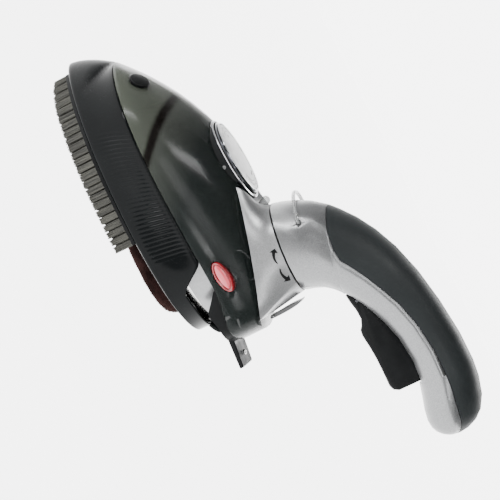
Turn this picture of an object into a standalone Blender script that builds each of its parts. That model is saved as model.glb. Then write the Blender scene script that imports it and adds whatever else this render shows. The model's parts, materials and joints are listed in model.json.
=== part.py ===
"""Compact hand-held steam iron with a swivelling handle and a clip-on lint brush.

Millimetres are used for every dimension below; place() turns them into metres in the part's frame:
+X runs from toe to heel, -Y is the iron's left side (the bristle side) and +Z points away from the sole.
The iron stands sole down on its lint brush, with the handle turned to the rear.
"""
import math

import bmesh
import bpy
from mathutils import Matrix, Vector

# ---- driving dimensions (mm) ----
MM = 0.001
GAP = 0.3                     # clearance between touching pieces
MERGE = 0.00001               # metres
MID_X = 138.6                 # toe-to-handle-tip midpoint, the frame's X origin
STAND = 12.4                  # height of the brush tray's underside over the floor

TRAY_LENGTH = 165.0
TRAY_HALF_WIDTH = 47.0
TRAY_WALL = 1.9
TRAY_FLOOR = 3.0
TRAY_TOP = 24.7
TRAY_REAR_TOP = 9.6
TRAY_CUT_START = 131.0        # the side wall is cut down between these two stations
TRAY_CUT_END = 143.0

HEAD_TOE = 11.5               # tank base outline
HEAD_HEEL = 180.0
HEAD_HALF_WIDTH = 47.3
HEAD_BASE = 25.0
HEAD_CREST = 41.0             # crest height over the base
CREST_RUN = 103.5
TANK_WALL = 2.3
HEEL_DROP = 4.0               # the tank's lower edge dips at the heel
ROOF_START = 103.8            # behind this station the tank top is the collar's seat

SOLE_TOE = 7.0
SOLE_HEEL = 160.5
SOLE_HALF_WIDTH = 42.3
SOLE_BOTTOM = 8.0
SOLE_TOP = 12.7
SOLE_SHEET = 1.5

SWIVEL = Vector((145.4, 0.0, 65.2))
SWIVEL_TILT = math.radians(4.5)
SWIVEL_RADIUS = 25.4

DIAL = Vector((88.7, 0.0, 62.9))
DIAL_TILT = math.radians(-3.0)
DIAL_RADIUS = 22.0
SEAT_RADIUS = 24.2

HEEL_FOOT = 14.0              # half-width of the foot behind the heel

GRIP_RECESS = 2.4
SHELL_WALL = 2.2
TRIGGER_HALF_WIDTH = 8.8
TRIGGER_PIVOT = Vector((187.5, 0.0, 87.8))
PUMP_X = 226.0

BRISTLE_COUNT = 24
BRISTLE_WIDTH = 8.5
BRISTLE_FILL = 0.7            # tuft width over pitch

# colour, roughness, metallic, opacity
FINISH = {
    "gloss_black": ((0.012, 0.013, 0.014), 0.12, 0.0, 1.0),
    "satin_black": ((0.020, 0.021, 0.022), 0.45, 0.0, 1.0),
    "smoked": ((0.045, 0.052, 0.052), 0.06, 0.0, 0.55),
    "silver": ((0.56, 0.57, 0.58), 0.32, 0.85, 1.0),
    "steel": ((0.62, 0.62, 0.61), 0.24, 1.0, 1.0),
    "aluminium": ((0.60, 0.61, 0.62), 0.42, 1.0, 1.0),
    "chrome": ((0.80, 0.80, 0.81), 0.06, 1.0, 1.0),
    "brass": ((0.70, 0.52, 0.22), 0.3, 1.0, 1.0),
    "rubber": ((0.024, 0.027, 0.028), 0.62, 0.0, 1.0),
    "bristle": ((0.10, 0.10, 0.088), 0.7, 0.0, 1.0),
    "velvet": ((0.060, 0.035, 0.032), 0.95, 0.0, 1.0),
    "red": ((0.62, 0.015, 0.02), 0.15, 0.0, 1.0),
    "clear": ((0.85, 0.87, 0.87), 0.05, 0.0, 0.35),
    "grey": ((0.17, 0.17, 0.17), 0.4, 0.0, 1.0),
    "ceramic": ((0.75, 0.73, 0.68), 0.6, 0.0, 1.0),
}


# ---- scene helpers ----
def clear_scene():
    for old in list(bpy.data.objects):
        bpy.data.objects.remove(old)


def make_collection(name, hidden=False):
    group = bpy.data.collections.new(name)
    bpy.context.scene.collection.children.link(group)
    group.hide_render = hidden
    return group


def finish(name):
    known = bpy.data.materials.get(name)
    if known:
        return known
    colour, roughness, metallic, opacity = FINISH[name]
    made = bpy.data.materials.new(name)
    made.use_nodes = True
    shader = made.node_tree.nodes["Principled BSDF"]
    shader.inputs["Base Color"].default_value = (*colour, 1.0)
    shader.inputs["Roughness"].default_value = roughness
    shader.inputs["Metallic"].default_value = metallic
    shader.inputs["Alpha"].default_value = opacity
    return made


def place(point):
    x, y, z = point
    return ((x - MID_X) * MM, y * MM, (z + STAND) * MM)


def build(name, points, faces, material, group=None):
    """One closed mesh from points in mm; its faces are turned outwards."""
    mesh = bpy.data.meshes.new(name)
    mesh.from_pydata([place(p) for p in points], [], faces)
    work = bmesh.new()
    work.from_mesh(mesh)
    bmesh.ops.remove_doubles(work, verts=work.verts, dist=0.000002)
    bmesh.ops.recalc_face_normals(work, faces=work.faces)
    work.to_mesh(mesh)
    work.free()
    made = bpy.data.objects.new(name, mesh)
    made.data.materials.append(finish(material))
    (group or PARTS).objects.link(made)
    return made


def bridge(faces, first, second, count, closed=True):
    """Quads between two rings of points that start at the indices first and second."""
    for i in range(count if closed else count - 1):
        j = (i + 1) % count
        faces.append((first + i, first + j, second + j, second + i))


def ring_centre(ring):
    total = Vector((0.0, 0.0, 0.0))
    for p in ring:
        total += Vector(p)
    return total / len(ring)


def loft(name, rings, material, group=None, capped=True, joined=False):
    """Skin over rings of equal count; joined closes the last ring back onto the first."""
    count = len(rings[0])
    points = [p for ring in rings for p in ring]
    faces = []
    for k in range(len(rings) - 1):
        bridge(faces, k * count, (k + 1) * count, count)
    if joined:
        bridge(faces, (len(rings) - 1) * count, 0, count)
    elif capped:
        last = (len(rings) - 1) * count
        faces.append(tuple(range(count)))
        faces.append(tuple(range(last, last + count)))
    return build(name, points, faces, material, group)


def frame_from(origin, axis):
    """Rotation that carries local Z onto axis, placed at origin."""
    turn = Vector((0.0, 0.0, 1.0)).rotation_difference(Vector(axis)).to_matrix().to_4x4()
    return Matrix.Translation(origin) @ turn


def add_object(name, data, material, group=None):
    data.materials.append(finish(material))
    made = bpy.data.objects.new(name, data)
    (group or PARTS).objects.link(made)
    return made


def set_down(made, origin, axis):
    """Stand an object modelled about its own Z on a point, along an axis."""
    turn = Vector((0.0, 0.0, 1.0)).rotation_difference(Vector(axis))
    made.rotation_mode = "QUATERNION"
    made.rotation_quaternion = turn
    made.location = place(origin)


def lathe(name, profile, origin, axis, material, segments=32, group=None, closed=True):
    """Turn a profile of (radius, height) about axis; an open profile starts and ends on the axis."""
    area = 0.0
    for (r0, z0), (r1, z1) in zip(profile, profile[1:] + profile[:1]):
        area += r0 * z1 - r1 * z0
    if area > 0.0:
        profile = profile[::-1]
    edges = [(i, i + 1) for i in range(len(profile) - 1)]
    if closed:
        edges.append((len(profile) - 1, 0))
    mesh = bpy.data.meshes.new(name)
    mesh.from_pydata([(radius * MM, 0.0, height * MM) for radius, height in profile], edges, [])
    made = add_object(name, mesh, material, group)
    set_down(made, origin, axis)
    turned = made.modifiers.new("turned", "SCREW")
    turned.axis = "Z"
    turned.steps = segments
    turned.render_steps = segments
    turned.use_merge_vertices = True
    turned.merge_threshold = MERGE
    turned.use_smooth_shade = False
    return made


def rod(name, start, end, radius, material, segments=12, group=None):
    start = Vector(start)
    end = Vector(end)
    work = bmesh.new()
    bmesh.ops.create_cone(
        work, cap_ends=True, cap_tris=False, segments=segments, radius1=radius * MM, radius2=radius * MM,
        depth=(end - start).length * MM)
    mesh = bpy.data.meshes.new(name)
    work.to_mesh(mesh)
    work.free()
    made = add_object(name, mesh, material, group)
    set_down(made, (start + end) / 2, (end - start).normalized())
    return made


def extrude_side(name, outline, low_y, high_y, material, group=None, chamfer=0.0):
    """An outline in X and Z pulled along Y, with its long edges chamfered."""
    work = bmesh.new()
    corners = [work.verts.new(place((x, low_y, z))) for x, z in outline]
    face = work.faces.new(corners)
    grown = bmesh.ops.extrude_face_region(work, geom=[face])["geom"]
    moved = [v for v in grown if isinstance(v, bmesh.types.BMVert)]
    bmesh.ops.translate(work, verts=moved, vec=(0.0, (high_y - low_y) * MM, 0.0))
    bmesh.ops.recalc_face_normals(work, faces=work.faces)
    if chamfer > 0.0:
        rims = [e for e in work.edges if abs(e.verts[0].co.y - e.verts[1].co.y) < MERGE]
        bmesh.ops.bevel(work, geom=rims, offset=chamfer * MM, segments=1, affect="EDGES", clamp_overlap=True)
    mesh = bpy.data.meshes.new(name)
    work.to_mesh(mesh)
    work.free()
    return add_object(name, mesh, material, group)


def block(name, low, high, material, group=None):
    work = bmesh.new()
    bmesh.ops.create_cube(work, size=1.0)
    size = [(b - a) * MM for a, b in zip(low, high)]
    bmesh.ops.scale(work, vec=size, verts=work.verts)
    mesh = bpy.data.meshes.new(name)
    work.to_mesh(mesh)
    work.free()
    made = add_object(name, mesh, material, group)
    made.location = place([(a + b) / 2 for a, b in zip(low, high)])
    return made


def cut(target, cutter, operation="DIFFERENCE"):
    change = target.modifiers.new(cutter.name, "BOOLEAN")
    change.operation = operation
    change.solver = "EXACT"
    change.object = cutter
    cutter.hide_render = True
    cutter.display_type = "WIRE"


def tube(name, path, radius, material, resolution=2, group=None):
    """Round bar along a smooth path of points, with flat ends."""
    bar = bpy.data.curves.new(name, "CURVE")
    bar.dimensions = "3D"
    bar.bevel_depth = radius * MM
    bar.bevel_resolution = resolution
    bar.use_fill_caps = True
    line = bar.splines.new("POLY")
    line.points.add(len(path) - 1)
    for point, spot in zip(line.points, path):
        point.co = (*place(spot), 1.0)
    return add_object(name, bar, material, group)


def spline(controls, steps):
    """Catmull-Rom curve through control points, steps points per span."""
    ends = [tuple(2 * a - b for a, b in zip(controls[0], controls[1]))]
    ends += list(controls)
    ends.append(tuple(2 * a - b for a, b in zip(controls[-1], controls[-2])))
    result = []
    for k in range(1, len(ends) - 2):
        for i in range(steps):
            result.append(catmull(ends[k - 1:k + 3], i / steps))
    result.append(tuple(controls[-1]))
    return result


def catmull(four, t):
    a, b, c, d = four
    point = []
    for p0, p1, p2, p3 in zip(a, b, c, d):
        value = 2 * p1 + (p2 - p0) * t
        value += (2 * p0 - 5 * p1 + 4 * p2 - p3) * t ** 2
        value += (3 * p1 - p0 - 3 * p2 + p3) * t ** 3
        point.append(value / 2)
    return tuple(point)


# ---- outlines seen from above ----
def smoothstep(t):
    t = min(max(t, 0.0), 1.0)
    return t * t * (3 - 2 * t)


def egg_width(u, widest=0.56, heel_power=2.2):
    """Half-width of an egg outline at fraction u of its length, 1 at its widest."""
    u = min(max(u, 0.0), 1.0)
    if u < widest:
        return (1 - (1 - u / widest) ** 2.1) ** (1 / 1.5)
    return (1 - ((u - widest) / (1 - widest)) ** heel_power) ** 0.5


def head_width(x):
    """Half-width of the head's base outline in mm: rounded toe, blunt heel."""
    u = min(max((x - HEAD_TOE) / (HEAD_HEEL - HEAD_TOE), 0.0), 1.0)
    if u < 0.4:
        return HEAD_HALF_WIDTH * (1 - (1 - u / 0.4) ** 2.2) ** (1 / 1.8)
    body = 1 - 0.33 * smoothstep((u - 0.4) / 0.6)
    corner = 1.0
    if u > 0.9:
        corner = (1 - ((u - 0.9) / 0.1) ** 3.5) ** 0.5
    return HEAD_HALF_WIDTH * body * corner


def stations(low, high, count):
    """Stations crowded towards both rounded ends."""
    return [low + (high - low) * (1 - math.cos(math.pi * k / count)) / 2 for k in range(count + 1)]


def outline(low, high, width, count):
    """Closed ring of (x, y) round a symmetric plan: left side out, right side back."""
    xs = stations(low, high, count)
    left = [(x, -width(x)) for x in xs]
    right = [(x, width(x)) for x in reversed(xs[1:-1])]
    return left + right


def egg_ring(toe, heel, half_width, z, count=30, heel_power=2.2):
    ring = outline(toe, heel, lambda x: half_width * egg_width((x - toe) / (heel - toe), 0.56, heel_power), count)
    return [(x, y, z) for x, y in ring]


# ---- lint brush ----
def tray_toe(z):
    return HEAD_TOE * (min(max(z, 0.0), 25.0) / 25.0) ** 1.7


def tray_top(x):
    if x < TRAY_CUT_START:
        return TRAY_TOP
    fall = (x - TRAY_CUT_START) / (TRAY_CUT_END - TRAY_CUT_START)
    return max(TRAY_TOP - (TRAY_TOP - TRAY_REAR_TOP) * fall, TRAY_REAR_TOP)


def tray_ring(share, inset, floor=0.0, count=27):
    """Ring of the tray wall at a share of its local height, pulled inwards by inset."""
    ring = []
    for x0, side in tray_stations(count):
        height = floor + (tray_top(x0) - floor) * share
        share_x = x0 / TRAY_LENGTH
        toe = tray_toe(height)
        skin_x = toe + (TRAY_LENGTH - toe) * share_x
        x = toe + inset + (TRAY_LENGTH - toe - 2 * inset) * share_x
        blend = smoothstep(height / 25.0)
        low = TRAY_HALF_WIDTH * egg_width(share_x)
        high = max(head_width(skin_x), low * 0.9) if x0 < 60.0 else head_width(skin_x)
        high *= min(x0 / 0.4, 1.0)
        width = (low * (1 - blend) + high * blend) * (1 - inset / TRAY_HALF_WIDTH)
        ring.append((x, side * width, height))
    return ring


def tray_stations(count):
    xs = stations(0.0, TRAY_LENGTH, count)
    return [(x, -1) for x in xs] + [(x, 1) for x in reversed(xs[1:-1])]


def make_tray():
    rings = [tray_ring(0.0, 1.4)]
    rings.append(tray_ring(0.06, 0.0))
    rings.append(tray_ring(0.35, 0.0))
    rings.append(tray_ring(0.7, 0.0))
    rings.append(tray_ring(1.0, 0.0))
    rings.append(tray_ring(1.0, TRAY_WALL))
    rings.append(tray_ring(0.5, TRAY_WALL, TRAY_FLOOR))
    rings.append(tray_ring(0.0, TRAY_WALL, TRAY_FLOOR))
    tray = loft("brush_tray", rings, "gloss_black")
    tab = [(161.0, 3.5), (164.0, 6.6), (168.5, 9.0), (171.0, 11.2), (170.2, 12.4), (166.5, 11.2), (162.0, 8.6)]
    grip = extrude_side("tray_tab", tab, -9.0, 9.0, "gloss_black", CUTTERS)
    cut(tray, grip, "UNION")


def bristle_path(inset):
    """Points beside the tray's left edge, two per tuft, with the inward distance inset."""
    first = 7.5
    pitch = 4.25
    points = []
    for k in range(BRISTLE_COUNT):
        for x in (first + k * pitch, first + (k + BRISTLE_FILL) * pitch):
            y = -TRAY_HALF_WIDTH * egg_width(x / TRAY_LENGTH)
            y_next = -TRAY_HALF_WIDTH * egg_width((x + 1.0) / TRAY_LENGTH)
            along = Vector((1.0, y_next - y, 0.0)).normalized()
            inward = Vector((-along.y, along.x, 0.0))
            points.append(Vector((x, y, 0.0)) + inward * inset)
    return points


def make_bristles():
    """Comb-shaped strip: a base rail with one slat-like tuft per pitch."""
    outer = bristle_path(1.9)
    inner = bristle_path(1.9 + BRISTLE_WIDTH)
    top = -GAP
    rail = -2.2
    tip = -STAND
    points = []
    for a, b in zip(outer, inner):
        for z in (top, rail, tip):
            points.append((a.x, a.y, z))
            points.append((b.x, b.y, z))
    faces = []
    last = len(outer) - 1
    for k in range(last):
        a = k * 6
        b = a + 6
        faces.append((a, a + 1, b + 1, b))
        faces.append((a, b, b + 2, a + 2))
        faces.append((a + 1, a + 3, b + 3, b + 1))
        if k % 2:
            faces.append((a + 2, b + 2, b + 3, a + 3))
            continue
        faces.append((a + 2, b + 2, b + 4, a + 4))
        faces.append((a + 3, a + 5, b + 5, b + 3))
        faces.append((a + 4, b + 4, b + 5, a + 5))
        faces.append((a + 2, a + 4, a + 5, a + 3))
        faces.append((b + 2, b + 3, b + 5, b + 4))
    faces.append((0, 2, 3, 1))
    end = last * 6
    faces.append((end, end + 1, end + 3, end + 2))
    build("bristle_strip", points, faces, "bristle")


def pad_ring(scale, z, grow=0.0, count=32):
    ring = []
    for i in range(count):
        angle = math.tau * i / count
        c = math.cos(angle)
        s = math.sin(angle)
        x = math.copysign(abs(c) ** (2 / 2.4), c) * (32.0 * scale + grow)
        y = math.copysign(abs(s) ** (2 / 2.4), s) * (30.0 * scale + grow)
        ring.append((119.5 + x, 6.5 + y, z))
    return ring


def make_pad():
    backing = [pad_ring(1.0, -GAP, 0.8), pad_ring(1.0, -1.6, 0.8)]
    loft("pad_backing", backing, "gloss_black")
    rings = [pad_ring(0.985, -1.9), pad_ring(1.0, -3.4), pad_ring(1.0, -6.0), pad_ring(0.975, -8.6)]
    rings += [pad_ring(0.92, -10.8), pad_ring(0.84, -12.1), pad_ring(0.78, -STAND)]
    loft("lint_pad", rings, "velvet")


# ---- sole and heater ----
def make_soleplate():
    def ring(inset, z, count=26):
        return egg_ring(SOLE_TOE + inset, SOLE_HEEL - inset, SOLE_HALF_WIDTH - inset, z, count)

    rings = [ring(1.8, SOLE_BOTTOM), ring(0.6, SOLE_BOTTOM + 0.5), ring(0.0, SOLE_BOTTOM + 1.8)]
    rings += [ring(0.2, SOLE_TOP), ring(1.4, SOLE_TOP), ring(2.0, SOLE_BOTTOM + SOLE_SHEET)]
    plate = loft("soleplate", rings, "steel")
    for k in range(5):
        spread = (k - 2) * 6.4
        turn = math.radians((k - 2) * 9.0)
        x = 44.0 + abs(k - 2) ** 2 * 0.7
        slot = steam_slot("steam_slot_%d" % (k + 1), x, spread, turn)
        cut(plate, slot)


def steam_slot(name, x, y, turn):
    """Stadium-shaped cutter through the sole."""
    corners = []
    for i in range(12):
        angle = math.tau * i / 12
        along = 2.2 * (1 if math.cos(angle) > 0 else -1)
        px = along + 1.0 * math.cos(angle)
        py = 1.0 * math.sin(angle)
        corners.append((x + px * math.cos(turn) - py * math.sin(turn), y + px * math.sin(turn) + py * math.cos(turn)))
    rings = [[(px, py, z) for px, py in corners] for z in (SOLE_BOTTOM - 2.0, SOLE_BOTTOM + 4.0)]
    return loft(name, rings, "steel", CUTTERS)


def make_heater():
    low = SOLE_BOTTOM + SOLE_SHEET + GAP

    def ring(toe, heel, width, z):
        return egg_ring(toe, heel, width, z, 20)

    rings = [ring(52.0, 151.0, 37.0, low), ring(52.0, 151.0, 37.0, low + 3.6), ring(53.0, 150.0, 36.0, low + 4.6)]
    loft("heater_casting", rings, "aluminium")
    top = low + 4.6 + GAP
    cover = []
    for i in range(28):
        angle = math.tau * i / 28
        c = math.cos(angle)
        s = math.sin(angle)
        cover.append((103.0 + math.copysign(abs(c) ** 0.5, c) * 27.0, math.copysign(abs(s) ** 0.5, s) * 15.0))
    rings = [[(x, y, z) for x, y in cover] for z in (top, top + 1.8)]
    loft("steam_chamber_cover", rings, "steel")
    for name, x in (("cover_screw_front", 81.0), ("cover_screw_rear", 125.0)):
        pan_screw(name, (x, 0.0, top + 1.8 + GAP), (0, 0, 1), 2.6)
    path = []
    centre_z = top + 3.3
    for k in range(3):
        path.append((142.0 - k * 24.0, -24.0, centre_z))
    for k in range(1, 12):
        angle = math.pi * k / 12
        path.append((92.0 - 24.0 * math.sin(angle) * 1.1, -24.0 * math.cos(angle), centre_z))
    for k in range(3):
        path.append((94.0 + k * 24.0, 24.0, centre_z))
    tube("heating_element", path, 2.9, "steel")
    for name, side in (("element_pin_left", -1), ("element_pin_right", 1)):
        rod(name, (142.0 + GAP, side * 24.0, centre_z), (149.0, side * 24.0, centre_z), 1.5, "brass", 8)
    block("thermostat", (84.5, -6.0, top + 1.8 + GAP), (93.5, 6.0, top + 5.2), "brass")
    block("thermal_fuse", (100.0, -3.2, top + 1.8 + GAP), (117.0, 3.2, top + 4.6), "ceramic")
    block("terminal_block", (140.5, -13.0, top), (150.5, 13.0, top + 6.4), "ceramic")
    shield = [egg_ring(24.0, 159.0, 37.2, z, 18) for z in (22.6, 23.6)]
    plate = loft("heat_shield", shield, "aluminium")
    axis = dial_axis()
    cut(plate, rod("shield_hole", DIAL - axis * 43.0, DIAL - axis * 37.0, 4.2, "steel", 16, CUTTERS))


def pan_screw(name, origin, axis, radius):
    """Pan head with a cross recess hinted by a shallow dish."""
    profile = [(0.0, 0.0), (radius, 0.0), (radius, 0.8), (radius * 0.75, 1.5), (radius * 0.4, 1.6), (0.0, 1.0)]
    return lathe(name, profile, origin, axis, "steel", 12, closed=False)


def make_skirt():
    def ring(inset, z):
        lift = (z - 13.0) / 12.0
        toe = 9.0 + 8.0 * lift + inset
        return egg_ring(toe, 165.0 - inset, 40.6 - 1.6 * lift - inset, z, 26, 2.5)

    rings = [ring(0.0, 13.0), ring(0.0, 24.6), ring(1.7, 24.6), ring(1.7, 13.0)]
    loft("sole_skirt", rings, "silver", joined=True)


# ---- water tank ----
def base_height(x):
    return HEAD_BASE - HEEL_DROP * smoothstep((x - 150.0) / 26.0)


def crest_height(x):
    """Height of the dome's crest line."""
    v = min(max((x - HEAD_TOE) / CREST_RUN, 0.0), 1.0)
    return HEAD_BASE + HEAD_CREST * (1 - (1 - v) ** 2.4)


def roof_height(x):
    """Height of the seat under the collar, falling to the heel."""
    t = min(max((x - 100.0) / 80.0, 0.0), 1.0)
    return 58.5 - 21.2 * t ** 1.25 - 2.0 * t ** 6


ARCH_POWER = 1.75


def arch(width, height, lift):
    """Half-width of the dome's arch at lift over its base."""
    share = min(max(lift / height, 0.0), 1.0)
    return width * (1 - share ** ARCH_POWER) ** (1 / ARCH_POWER)


def tank_section(x, sides=8, roof=5):
    """Open arch from the left foot over the crest to the right foot at station x."""
    base = base_height(x)
    width = max(head_width(x), 0.3)
    full = max(crest_height(x) - base, 0.3)
    flat = x > ROOF_START
    level = roof_height(x) - base if flat else full * 0.93
    level = max(min(level, full * 0.985), 0.15)
    half = []
    for k in range(sides):
        lift = level * (k / (sides - 1)) ** 1.15
        half.append((arch(width, full, lift), base + lift))
    edge = half[-1][0]
    top = []
    for k in range(1, roof):
        y = edge * (1 - k / (roof - 1))
        if flat:
            top.append((y, base + level))
            continue
        share = min((y / width) ** ARCH_POWER, 1.0)
        top.append((y, base + full * (1 - share) ** (1 / ARCH_POWER)))
    right = half + top
    left = [(-y, z) for y, z in right[:-1]]
    return [(x, y, z) for y, z in left] + [(x, y, z) for y, z in reversed(right)]


def hollow_section(x, wall=TANK_WALL):
    """The same arch drawn in by the wall on every side."""
    base = base_height(x)
    low = HEAD_TOE + wall + 0.5
    high = HEAD_HEEL - wall - 0.5
    moved = low + (high - low) * (x - HEAD_TOE) / (HEAD_HEEL - HEAD_TOE)
    narrow = 1 - wall / HEAD_HALF_WIDTH
    lower = 1 - wall / HEAD_CREST
    return [(moved, y * narrow, base + (z - base) * lower) for _, y, z in tank_section(x)]


def tank_stations():
    xs = stations(HEAD_TOE + 0.2, HEAD_HEEL - 0.2, 25)
    keep = [x for x in xs if abs(x - ROOF_START) > 1.6]
    return sorted(keep + [ROOF_START - 0.02, ROOF_START + 0.02])


def arch_shell(name, outer, inner, material):
    """Closed shell between an outer and an inner set of arches, open along the foot."""
    count = len(outer[0])
    points = [p for section in outer for p in section]
    shift = len(points)
    points += [p for section in inner for p in section]
    faces = []
    for base, sections in ((0, outer), (shift, inner)):
        for k in range(len(sections) - 1):
            for i in range(count - 1):
                a = base + k * count + i
                faces.append((a, a + 1, a + 1 + count, a + count))
        for k in (0, len(sections) - 1):
            row = base + k * count
            faces.append(tuple(row + i for i in range(count)))
    rows = len(outer)
    for foot in (0, count - 1):
        for k in range(rows - 1):
            a = k * count + foot
            b = (k + 1) * count + foot
            faces.append((a, b, b + shift, a + shift))
    for k in (0, rows - 1):
        a = k * count
        faces.append((a, a + count - 1, a + count - 1 + shift, a + shift))
    return build(name, points, faces, material)


def make_tank():
    xs = tank_stations()
    outer = [tank_section(x) for x in xs]
    inner = [hollow_section(x) for x in xs]
    shell = arch_shell("tank_shell", outer, inner, "smoked")
    axis = dial_axis()
    bore = rod("dial_bore", DIAL - axis * 22.0, DIAL + axis * 20.0, SEAT_RADIUS + GAP, "smoked", 40, CUTTERS)
    cut(shell, bore)
    for name, side in (("button_bore_left", -1), ("button_bore_right", 1)):
        cut(shell, oval_bar(name, side, 29.0, 42.0, 0.45, CUTTERS))
    start, direction = plug_place()
    feed = swivel_axis()
    cut(shell, rod("feed_bore", SWIVEL - feed * 20.0, SWIVEL - feed * 6.0, 2.6, "smoked", 12, CUTTERS))
    hole = rod("fill_bore", start - direction * 8.0, start + direction * 6.0, 5.0, "smoked", 20, CUTTERS)
    cut(shell, hole)
    left = []
    for x in stations(20.0, 168.0, 18):
        drawn = HEAD_TOE + (x - HEAD_TOE - TANK_WALL - 0.5) * 1.034
        lift = 27.2 - base_height(drawn)
        width = arch(head_width(drawn), crest_height(drawn) - base_height(drawn), lift) * (1 - TANK_WALL / 47.0) - 0.7
        left.append((x, -width))
    ring = left + [(x, -y) for x, y in reversed(left)]
    plate = loft("tank_floor", [[(x, y, z) for x, y in ring] for z in (25.1, 26.9)], "smoked")
    cut(plate, rod("floor_hole", DIAL - axis * 40.0, DIAL - axis * 34.0, 4.2, "steel", 16, CUTTERS))
    sleeve = [(4.4, -35.5), (6.4, -35.5), (6.4, -11.0), (4.4, -11.0)]
    lathe("thermostat_sleeve", sleeve, DIAL, axis, "smoked", 16)
    make_baffle()


def make_baffle():
    """Slosh wall across the tank, with its crest kept below the shell."""
    rings = []
    for x in (44.0, 45.6):
        section = hollow_section(42.5, TANK_WALL + 0.9)
        rings.append([(x, y, max(z, 27.4)) for _, y, z in section])
    points = [p for ring in rings for p in ring]
    count = len(rings[0])
    faces = [tuple(range(count)), tuple(range(count, 2 * count))]
    bridge(faces, 0, count, count)
    build("tank_baffle", points, faces, "satin_black")


def flank_point(x, lift):
    return Vector((x, -arch(head_width(x), crest_height(x) - base_height(x), lift), base_height(x) + lift))


def plug_place():
    """Mouth of the fill port on the left front flank, and its outward direction."""
    x = 30.0
    lift = 10.4
    here = flank_point(x, lift)
    normal = (flank_point(x + 0.5, lift) - here).cross(flank_point(x, lift + 0.5) - here).normalized()
    if normal.z < 0.0:
        normal = -normal
    return here, normal


def make_fill_plug():
    start, direction = plug_place()
    profile = [(0.0, -6.0), (3.4, -6.0), (4.4, -4.6), (4.5, 1.1), (6.0, 1.2), (6.0, 1.9), (5.0, 2.6), (0.0, 2.8)]
    lathe("fill_plug", profile, start, direction, "satin_black", 20, closed=False)


def oval_bar(name, side, inner, outer, grow, group=None, dome=0.0, material="red"):
    """Oval bar along Y on one flank of the tank."""
    rings = []
    steps = [(inner, 1.0), (outer, 1.0)]
    if dome:
        steps = [(inner, 1.0), (outer - dome, 1.0), (outer - dome * 0.35, 0.86), (outer, 0.5)]
    for y, scale in steps:
        ring = []
        for i in range(24):
            angle = math.tau * i / 24
            long_half = (9.2 + grow) * scale
            short_half = (4.1 + grow) * scale
            u = long_half * math.cos(angle)
            v = short_half * math.sin(angle)
            ring.append((144.0 + u * 0.994 - v * 0.11, side * y, 32.6 + u * 0.11 + v * 0.994))
        rings.append(ring)
    return loft(name, rings, material, group)


def make_buttons():
    for name, side in (("release_button_left", -1), ("release_button_right", 1)):
        oval_bar(name, side, 31.0, 37.6, 0.0, None, 2.4)


# ---- dial ----
def dial_axis():
    return Vector((math.sin(DIAL_TILT), 0.0, math.cos(DIAL_TILT)))


def make_dial():
    axis = dial_axis()
    seat = [(3.2, -9.4), (20.0, -9.4), (SEAT_RADIUS, -8.0), (SEAT_RADIUS, -3.4), (22.6, -3.4), (22.6, -6.7)]
    seat.append((3.2, -6.7))
    lathe("dial_seat", seat, DIAL, axis, "gloss_black", 40)
    bezel = [(22.6, -3.1), (SEAT_RADIUS, -3.1), (SEAT_RADIUS - 0.2, -2.3), (22.8, -2.1)]
    lathe("dial_bezel", bezel, DIAL, axis, "chrome", 40)
    base = [(0.0, -6.4), (22.2, -6.4), (22.2, -4.3), (21.2, -3.7), (0.0, -3.7)]
    lathe("dial_base", base, DIAL, axis, "gloss_black", 40, closed=False)
    ring = [(17.0, -3.4), (21.0, -3.4), (DIAL_RADIUS, -2.8), (DIAL_RADIUS, -1.0), (21.2, -0.1)]
    ring += [(20.4, -0.2), (20.4, -1.3), (17.0, -1.3)]
    lathe("dial_ring", ring, DIAL, axis, "chrome", 40)
    face = [(0.0, -1.0), (20.1, -1.0), (20.1, -0.1), (19.4, 0.25), (13.0, 0.85), (0.0, 1.25)]
    lathe("dial_face", face, DIAL, axis, "silver", 32, closed=False)
    rod("thermostat_shaft", DIAL - axis * 42.5, DIAL - axis * 6.7, 2.5, "steel", 12)


# ---- collar and swivel ----
def swivel_axis():
    return Vector((math.sin(SWIVEL_TILT), 0.0, math.cos(SWIVEL_TILT)))


def swivel_point(angle, radius, lift):
    """Point about the swivel axis; angle 0 points to the heel."""
    local = frame_from(SWIVEL, swivel_axis())
    return local @ Vector((radius * math.cos(angle), radius * math.sin(angle), lift))


def collar_foot():
    """Lower rim of the collar, right half from the dial round to the heel, then mirrored."""
    right = []
    radius = SEAT_RADIUS + 0.5
    widest = math.acos((ROOF_START + 0.4 - DIAL.x) / radius)
    for k in range(6):
        angle = widest * k / 5
        x = DIAL.x + radius * math.cos(angle)
        right.append((x, radius * math.sin(angle), roof_height(x) + GAP))
    crease = [crease_point(ROOF_START + 0.4)]
    for k in range(1, 11):
        crease.append(crease_point(ROOF_START + 0.4 + (173.4 - ROOF_START) * math.sin(math.pi / 2 * k / 10)))
    tip = crease[-1]
    crease.append((tip[0] + 0.5, tip[1] * 0.55, tip[2]))
    right += crease
    right.append((tip[0] + 0.7, 0.0, tip[2]))
    return right


def crease_point(x):
    base = base_height(x)
    full = crest_height(x) - base
    level = max(min(roof_height(x) - base, full * 0.985), 0.15)
    return (x, arch(head_width(x), full, level), base + level + GAP)


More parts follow.
